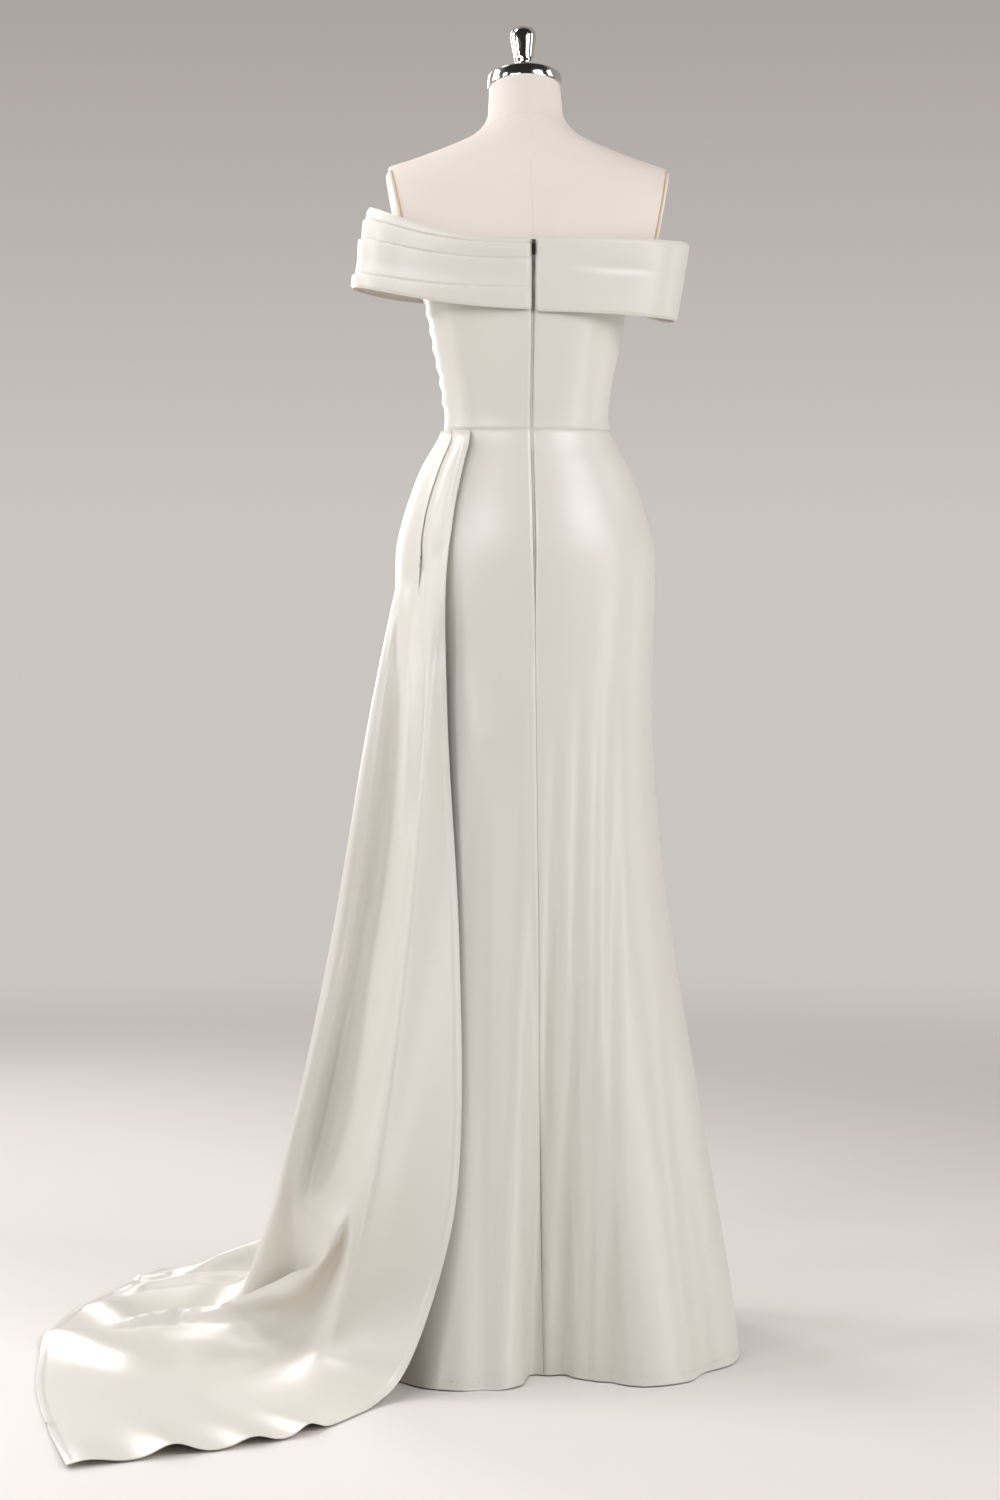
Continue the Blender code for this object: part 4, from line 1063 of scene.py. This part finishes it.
def make_band(material):
    """Make the pleated piece from the zip round the left arm, and then the smooth piece."""
    angles = spaced(0.0, 360.0 + BAND_END_ANGLE, BAND_PLEATED_COLUMNS)
    grid = roll_band(band_surface(angles[:, None], pleated_downs(angles), True))
    trim(grid, 0, 0, BAND_ZIP_GAP / 2)
    make_cloth("band_pleated", grid, material)
    angles = spaced(BAND_END_ANGLE, 0.0, BAND_SMOOTH_COLUMNS)
    downs = eased(0.0, 1.0, BAND_SMOOTH_ROWS, ROW_CROWDING)
    grid = band_surface(angles[:, None], downs[None, :], False)
    grid = roll_band(add_folds(grid, (BAND_FOLD,)))
    trim(grid, -1, 0, -BAND_ZIP_GAP / 2)
    make_cloth("band_smooth", grid, material)


def overskirt_columns():
    """Return the shares of the grid's columns, crowded at the ridge and both edges, and
    the number of the column on the main ridge."""
    line = 1.0 / (len(FOLD_LINES) - 1)
    front_ridge = (len(FOLD_LINES) - 2) * line
    panel = eased(0.0, line, PANEL_COLUMNS, PANEL_CROWDING)
    flank = spaced(line, 2 * line, FLANK_COLUMNS, FLANK_POWER)
    side = np.linspace(2 * line, front_ridge, SIDE_COLUMNS + 1)
    front = spaced(1.0, front_ridge, FRONT_COLUMNS, FRONT_POWER)[::-1]
    return np.concatenate((panel, flank[1:], side[1:], front[1:])), PANEL_COLUMNS


def overskirt_rows():
    hanging = spaced(0.0, HANGING_END, HANGING_ROWS)
    lying = spaced(HANGING_END, LYING_END, LYING_ROWS)
    hem = spaced(1.0, LYING_END, HEM_ROWS, HEM_POWER)[::-1]
    return np.concatenate((hanging, lying[1:], hem[1:]))


def make_overskirt(material):
    across, ridge = overskirt_columns()
    grid = add_folds(overskirt_surface(across, overskirt_rows()), TRAIN_FOLDS)
    grid[..., 2] = np.maximum(grid[..., 2], CLOTH / 2)
    lift_panel(grid, ridge)
    hem = hem_strip_relief(grid)
    set_pleat(grid, ridge)
    grid = clear_of_gown(push(grid, hem), CLOTH / 2, np.zeros(grid.shape[1]))
    grid[..., 2] = np.maximum(grid[..., 2], FLOOR_CLEARANCE)
    make_cloth("overskirt", grid, material, offset=0.0)
    edge = np.concatenate((grid[0, :-1], grid[:-1, -1], grid[-1, ::-1]))
    make_cords("overskirt_hem_edge", (edge,), HEM_CORD, material, "satin")


# The dress form and its stand


def arm_plane(height):
    """Return the x of the flat cut where an arm would start."""
    return ARM_PLANE_TIP - (ARM_PLANE_TIP_HEIGHT - height) * ARM_PLANE_SLOPE


def hidden_form_rings(angles):
    heights = spaced(FORM_BOTTOM, FORM_HIDDEN_TOP, FORM_HIDDEN_ROWS)[:, None]
    half_width, back, front, squareness = read_sections(GOWN_SECTIONS, heights)
    x, y = superellipse(angles[None, :], half_width - FORM_EASE, back - FORM_EASE,
                        front - FORM_EASE, squareness)
    return np.stack((x, y, np.broadcast_to(heights, x.shape)), axis=-1)


def form_surface(angles, heights, ease=0.0):
    """Return points on the form above the gown, an ease inside its cover."""
    half_width, back, front, squareness, forward, lean = read_sections(FORM_SECTIONS, heights)
    x, y = superellipse(angles, half_width - ease, back - ease, front - ease, squareness)
    limit = arm_plane(heights)
    x = np.clip(x, -limit, limit)
    height = heights + y * np.tan(np.radians(lean))
    return np.stack((x, y - forward, height), axis=-1)


def open_form_rings(angles):
    first, last = FORM_SECTIONS[0].height, FORM_SECTIONS[-1].height
    heights = spaced(first, last, FORM_OPEN_ROWS)
    return form_surface(angles[None, :], heights[:, None])


def make_form_seams(material):
    """Make the cover's raised seams: one arched round the neck, and one down the back and
    the front."""
    angles = np.linspace(-180.0, 180.0, NECK_SEAM_STEPS + 1)
    heights = NECK_SEAM_HEIGHT - NECK_SEAM_ARCH * (1.0 - bell(angles, NECK_SEAM_SPREAD))
    paths = [form_surface(angles, heights, FORM_SEAM_SINK)]
    for angle, top in ((0.0, NECK_SEAM_HEIGHT), (180.0, NECK_SEAM_HEIGHT - NECK_SEAM_ARCH)):
        heights = np.linspace(FORM_SEAM_BOTTOM, top, FORM_SEAM_STEPS)
        paths.append(form_surface(np.full(heights.shape, angle), heights, FORM_SEAM_SINK))
    make_cords("form_seams", paths, FORM_SEAM_RADIUS, material, "form_cover", PIPING_SIDES)


def make_form(material):
    angles = np.arange(FORM_SIDES) * 360.0 / FORM_SIDES
    rings = np.concatenate((hidden_form_rings(angles), open_form_rings(angles)))
    faces = turn_over(ring_faces(*rings.shape[:2]))
    piece = link_mesh("form_cover_cloth", rings, faces, material, BOARD_SHARP)
    place_piece(piece, "form_cover", "form_body")


def lean_forward(points, pivot_height, pivot_y):
    """Turn points about a line along X by the neck's lean, to the front."""
    angle = math.radians(NECK_LEAN)
    x, y, z = np.moveaxis(points, -1, 0)
    depth = y * math.cos(angle) - z * math.sin(angle)
    rise = y * math.sin(angle) + z * math.cos(angle)
    return np.stack((x, pivot_y + depth, pivot_height + rise), axis=-1)


def turned(profile):
    angles = np.arange(CAP_SIDES) * 2 * np.pi / CAP_SIDES
    rings = [[(radius * math.cos(a), radius * math.sin(a), height) for a in angles]
             for radius, height in profile]
    return np.array(rings)


def make_turned(name, profile, rise, material):
    """Make a turned piece on the neck's leaning axis, a rise above its foot."""
    lean = math.radians(NECK_LEAN)
    rings = lean_forward(turned(profile), CAP_BASE_HEIGHT + rise * math.cos(lean),
                         -CAP_FORWARD - rise * math.sin(lean))
    faces = ring_faces(len(profile), CAP_SIDES)
    piece = link_mesh(name + "_metal", rings, faces, material, METAL_SHARP)
    place_piece(piece, "chrome", "form_" + name)


def arm_cut_outline():
    """Return (y, height) round the flat arm cut, up its back edge and down its front."""
    heights = spaced(PLATE_BOTTOM, PLATE_TOP, PLATE_OUTLINE_STEPS)
    half_width, back, front, squareness, forward, _ = read_sections(FORM_SECTIONS, heights)
    share = (arm_plane(heights) / half_width) ** squareness
    reach = (1.0 - share) ** (1.0 / squareness)
    rear = np.stack((back * reach - forward, heights), axis=-1)
    ahead = np.stack((-front * reach - forward, heights), axis=-1)
    return np.concatenate((rear, ahead[::-1]))


def make_arm_plate(name, side, material):
    node = "form_arm_plate_" + name
    outline = arm_cut_outline()
    centre = outline.mean(axis=0)
    rings = []
    for scale, out in PLATE_STEPS:
        y, height = (centre + (outline - centre) * scale).T
        x = side * (arm_plane(height) + SEAM_GAP + out)
        rings.append(np.stack((x, y, height), axis=-1))
    faces = ring_faces(len(rings), len(outline))
    if side < 0:
        faces = turn_over(faces)
    piece = link_mesh(node + "_board", rings, faces, material, BOARD_SHARP)
    place_piece(piece, "plate_rim", node)


def make_piping(material):
    """Make the tan piping let in round each arm plate."""
    y, height = arm_cut_outline().T
    y, height = np.append(y, y[0]), np.append(height, height[0])
    paths = [np.stack((side * arm_plane(height), y, height), axis=-1) for side in (1, -1)]
    make_cords("arm_plate_piping", paths, PIPING_RADIUS, material, "plate_rim", PIPING_SIDES)


# Stage, light and camera


def studio_colour(tree, direction):
    """Return the studio's colour in a direction: a lit backdrop, dim on the other side."""
    axes = add_node(tree, "ShaderNodeSeparateXYZ", Vector=direction).outputs
    side = add_node(tree, "ShaderNodeMapRange", interpolation_type="SMOOTHSTEP",
                    From_Min=DIM_START, From_Max=DIM_END, Value=axes["Y"])
    rise = colour_between(tree, axes["Z"], BACKDROP, BACKDROP_TOP, 0.0, BACKDROP_TOP_RISE)
    mix = add_node(tree, "ShaderNodeMixRGB", Fac=side.outputs["Result"], Color1=rise,
                   Color2=(*STUDIO_DIM, 1.0))
    return mix.outputs["Color"]


def make_floor():
    """Make a round floor whose far part melts into the backdrop as a painted glow in its
    colour.
    """
    bpy.ops.mesh.primitive_circle_add(vertices=FLOOR_SIDES, radius=FLOOR_RADIUS,
                                      fill_type="NGON")
    floor = bpy.context.object
    floor.name = "studio_floor"
    floor.location.z = -FLOOR_DROP
    material, tree, shader = new_material("studio_floor", FLOOR_COLOUR, FLOOR_ROUGHNESS)
    set_sockets(tree, shader, Specular_IOR_Level=FLOOR_SPECULAR)
    place = add_node(tree, "ShaderNodeTexCoord").outputs["Object"]
    length = add_node(tree, "ShaderNodeVectorMath", operation="LENGTH", Vector=place)
    direction = add_node(tree, "ShaderNodeVectorMath", operation="NORMALIZE", Vector=place)
    fade = add_node(tree, "ShaderNodeMapRange", interpolation_type="SMOOTHSTEP",
                    From_Min=FLOOR_GLOW_START, From_Max=FLOOR_GLOW_END,
                    Value=length.outputs["Value"])
    # The far floor is painted light: it glows with the studio's colour instead of being lit by
    # the lamps
    far = add_node(tree, "ShaderNodeEmission",
                   Color=studio_colour(tree, direction.outputs["Vector"]))
    mix = add_node(tree, "ShaderNodeMixShader", Fac=fade.outputs["Result"])
    tree.links.new(shader.outputs["BSDF"], mix.inputs[1])
    tree.links.new(far.outputs["Emission"], mix.inputs[2])
    set_sockets(tree, tree.nodes["Material Output"], Surface=mix.outputs["Shader"])
    floor.data.materials.append(material)


def make_world():
    """Make the backdrop, which darkens from the horizon up."""
    world = bpy.data.worlds.new("studio")
    world.use_nodes = True
    tree = world.node_tree
    direction = add_node(tree, "ShaderNodeTexCoord").outputs["Generated"]
    set_sockets(tree, tree.nodes["Background"], Color=studio_colour(tree, direction),
                Strength=1.0)
    bpy.context.scene.world = world


def aim_at(thing, target):
    direction = np.array(target) - np.array(thing.location)
    direction = Vector(direction / np.linalg.norm(direction))
    thing.rotation_mode = "QUATERNION"
    thing.rotation_quaternion = direction.to_track_quat("-Z", "Y")


def make_light(lamp):
    light = bpy.data.lights.new(lamp.name, "AREA")
    light.shape = "RECTANGLE"
    light.size = lamp.width
    light.size_y = lamp.height
    light.energy = lamp.power
    holder = link_object(lamp.name, light)
    holder.location = lamp.place
    aim_at(holder, lamp.target)
    holder.visible_camera = False


def make_camera():
    data = bpy.data.cameras.new("camera")
    data.lens = CAMERA_LENS
    data.sensor_width = SENSOR
    data.sensor_fit = "AUTO"
    camera = link_object("camera", data)
    camera.location = CAMERA_PLACE
    aim_at(camera, CAMERA_AIM)
    bpy.context.scene.camera = camera


def set_material(node, material):
    """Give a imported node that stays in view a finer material."""
    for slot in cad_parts[node].material_slots:
        slot.material = material


def round_edges(node):
    """Round the edges of a small cast metal piece."""
    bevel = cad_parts[node].modifiers.new("rounding", "BEVEL")
    bevel.width = METAL_ROUNDING
    bevel.segments = ROUNDING_SEGMENTS
    bevel.limit_method = "ANGLE"


def main():
    bpy.context.scene.view_settings.view_transform = "Standard"
    make_camera()
    make_world()
    make_floor()
    for lamp in LAMPS:
        make_light(lamp)
    cloth = satin()
    make_gown(cloth)
    make_stitches(cloth)
    make_coil(cloth)
    make_band(cloth)
    make_overskirt(cloth)
    cover = form_cover()
    make_form(cover)
    make_form_seams(cover)
    metal = chrome()
    make_turned("neck_cap", CAP_PROFILE, 0.0, metal)
    make_turned("finial", FINIAL_PROFILE, CAP_PROFILE[-1][1] + SEAM_GAP, metal)
    board = plate_face()
    make_arm_plate("left", 1, board)
    make_arm_plate("right", -1, board)
    make_piping(plate_rim())
    for node in ("zip_slider", "zip_pull"):
        round_edges(node)
    for node in ("stand_pole", "zip_slider", "zip_pull"):
        set_material(node, metal)
    set_material("stand_base", stand_paint())
    set_material("zip_tape", zip_cloth())


main()
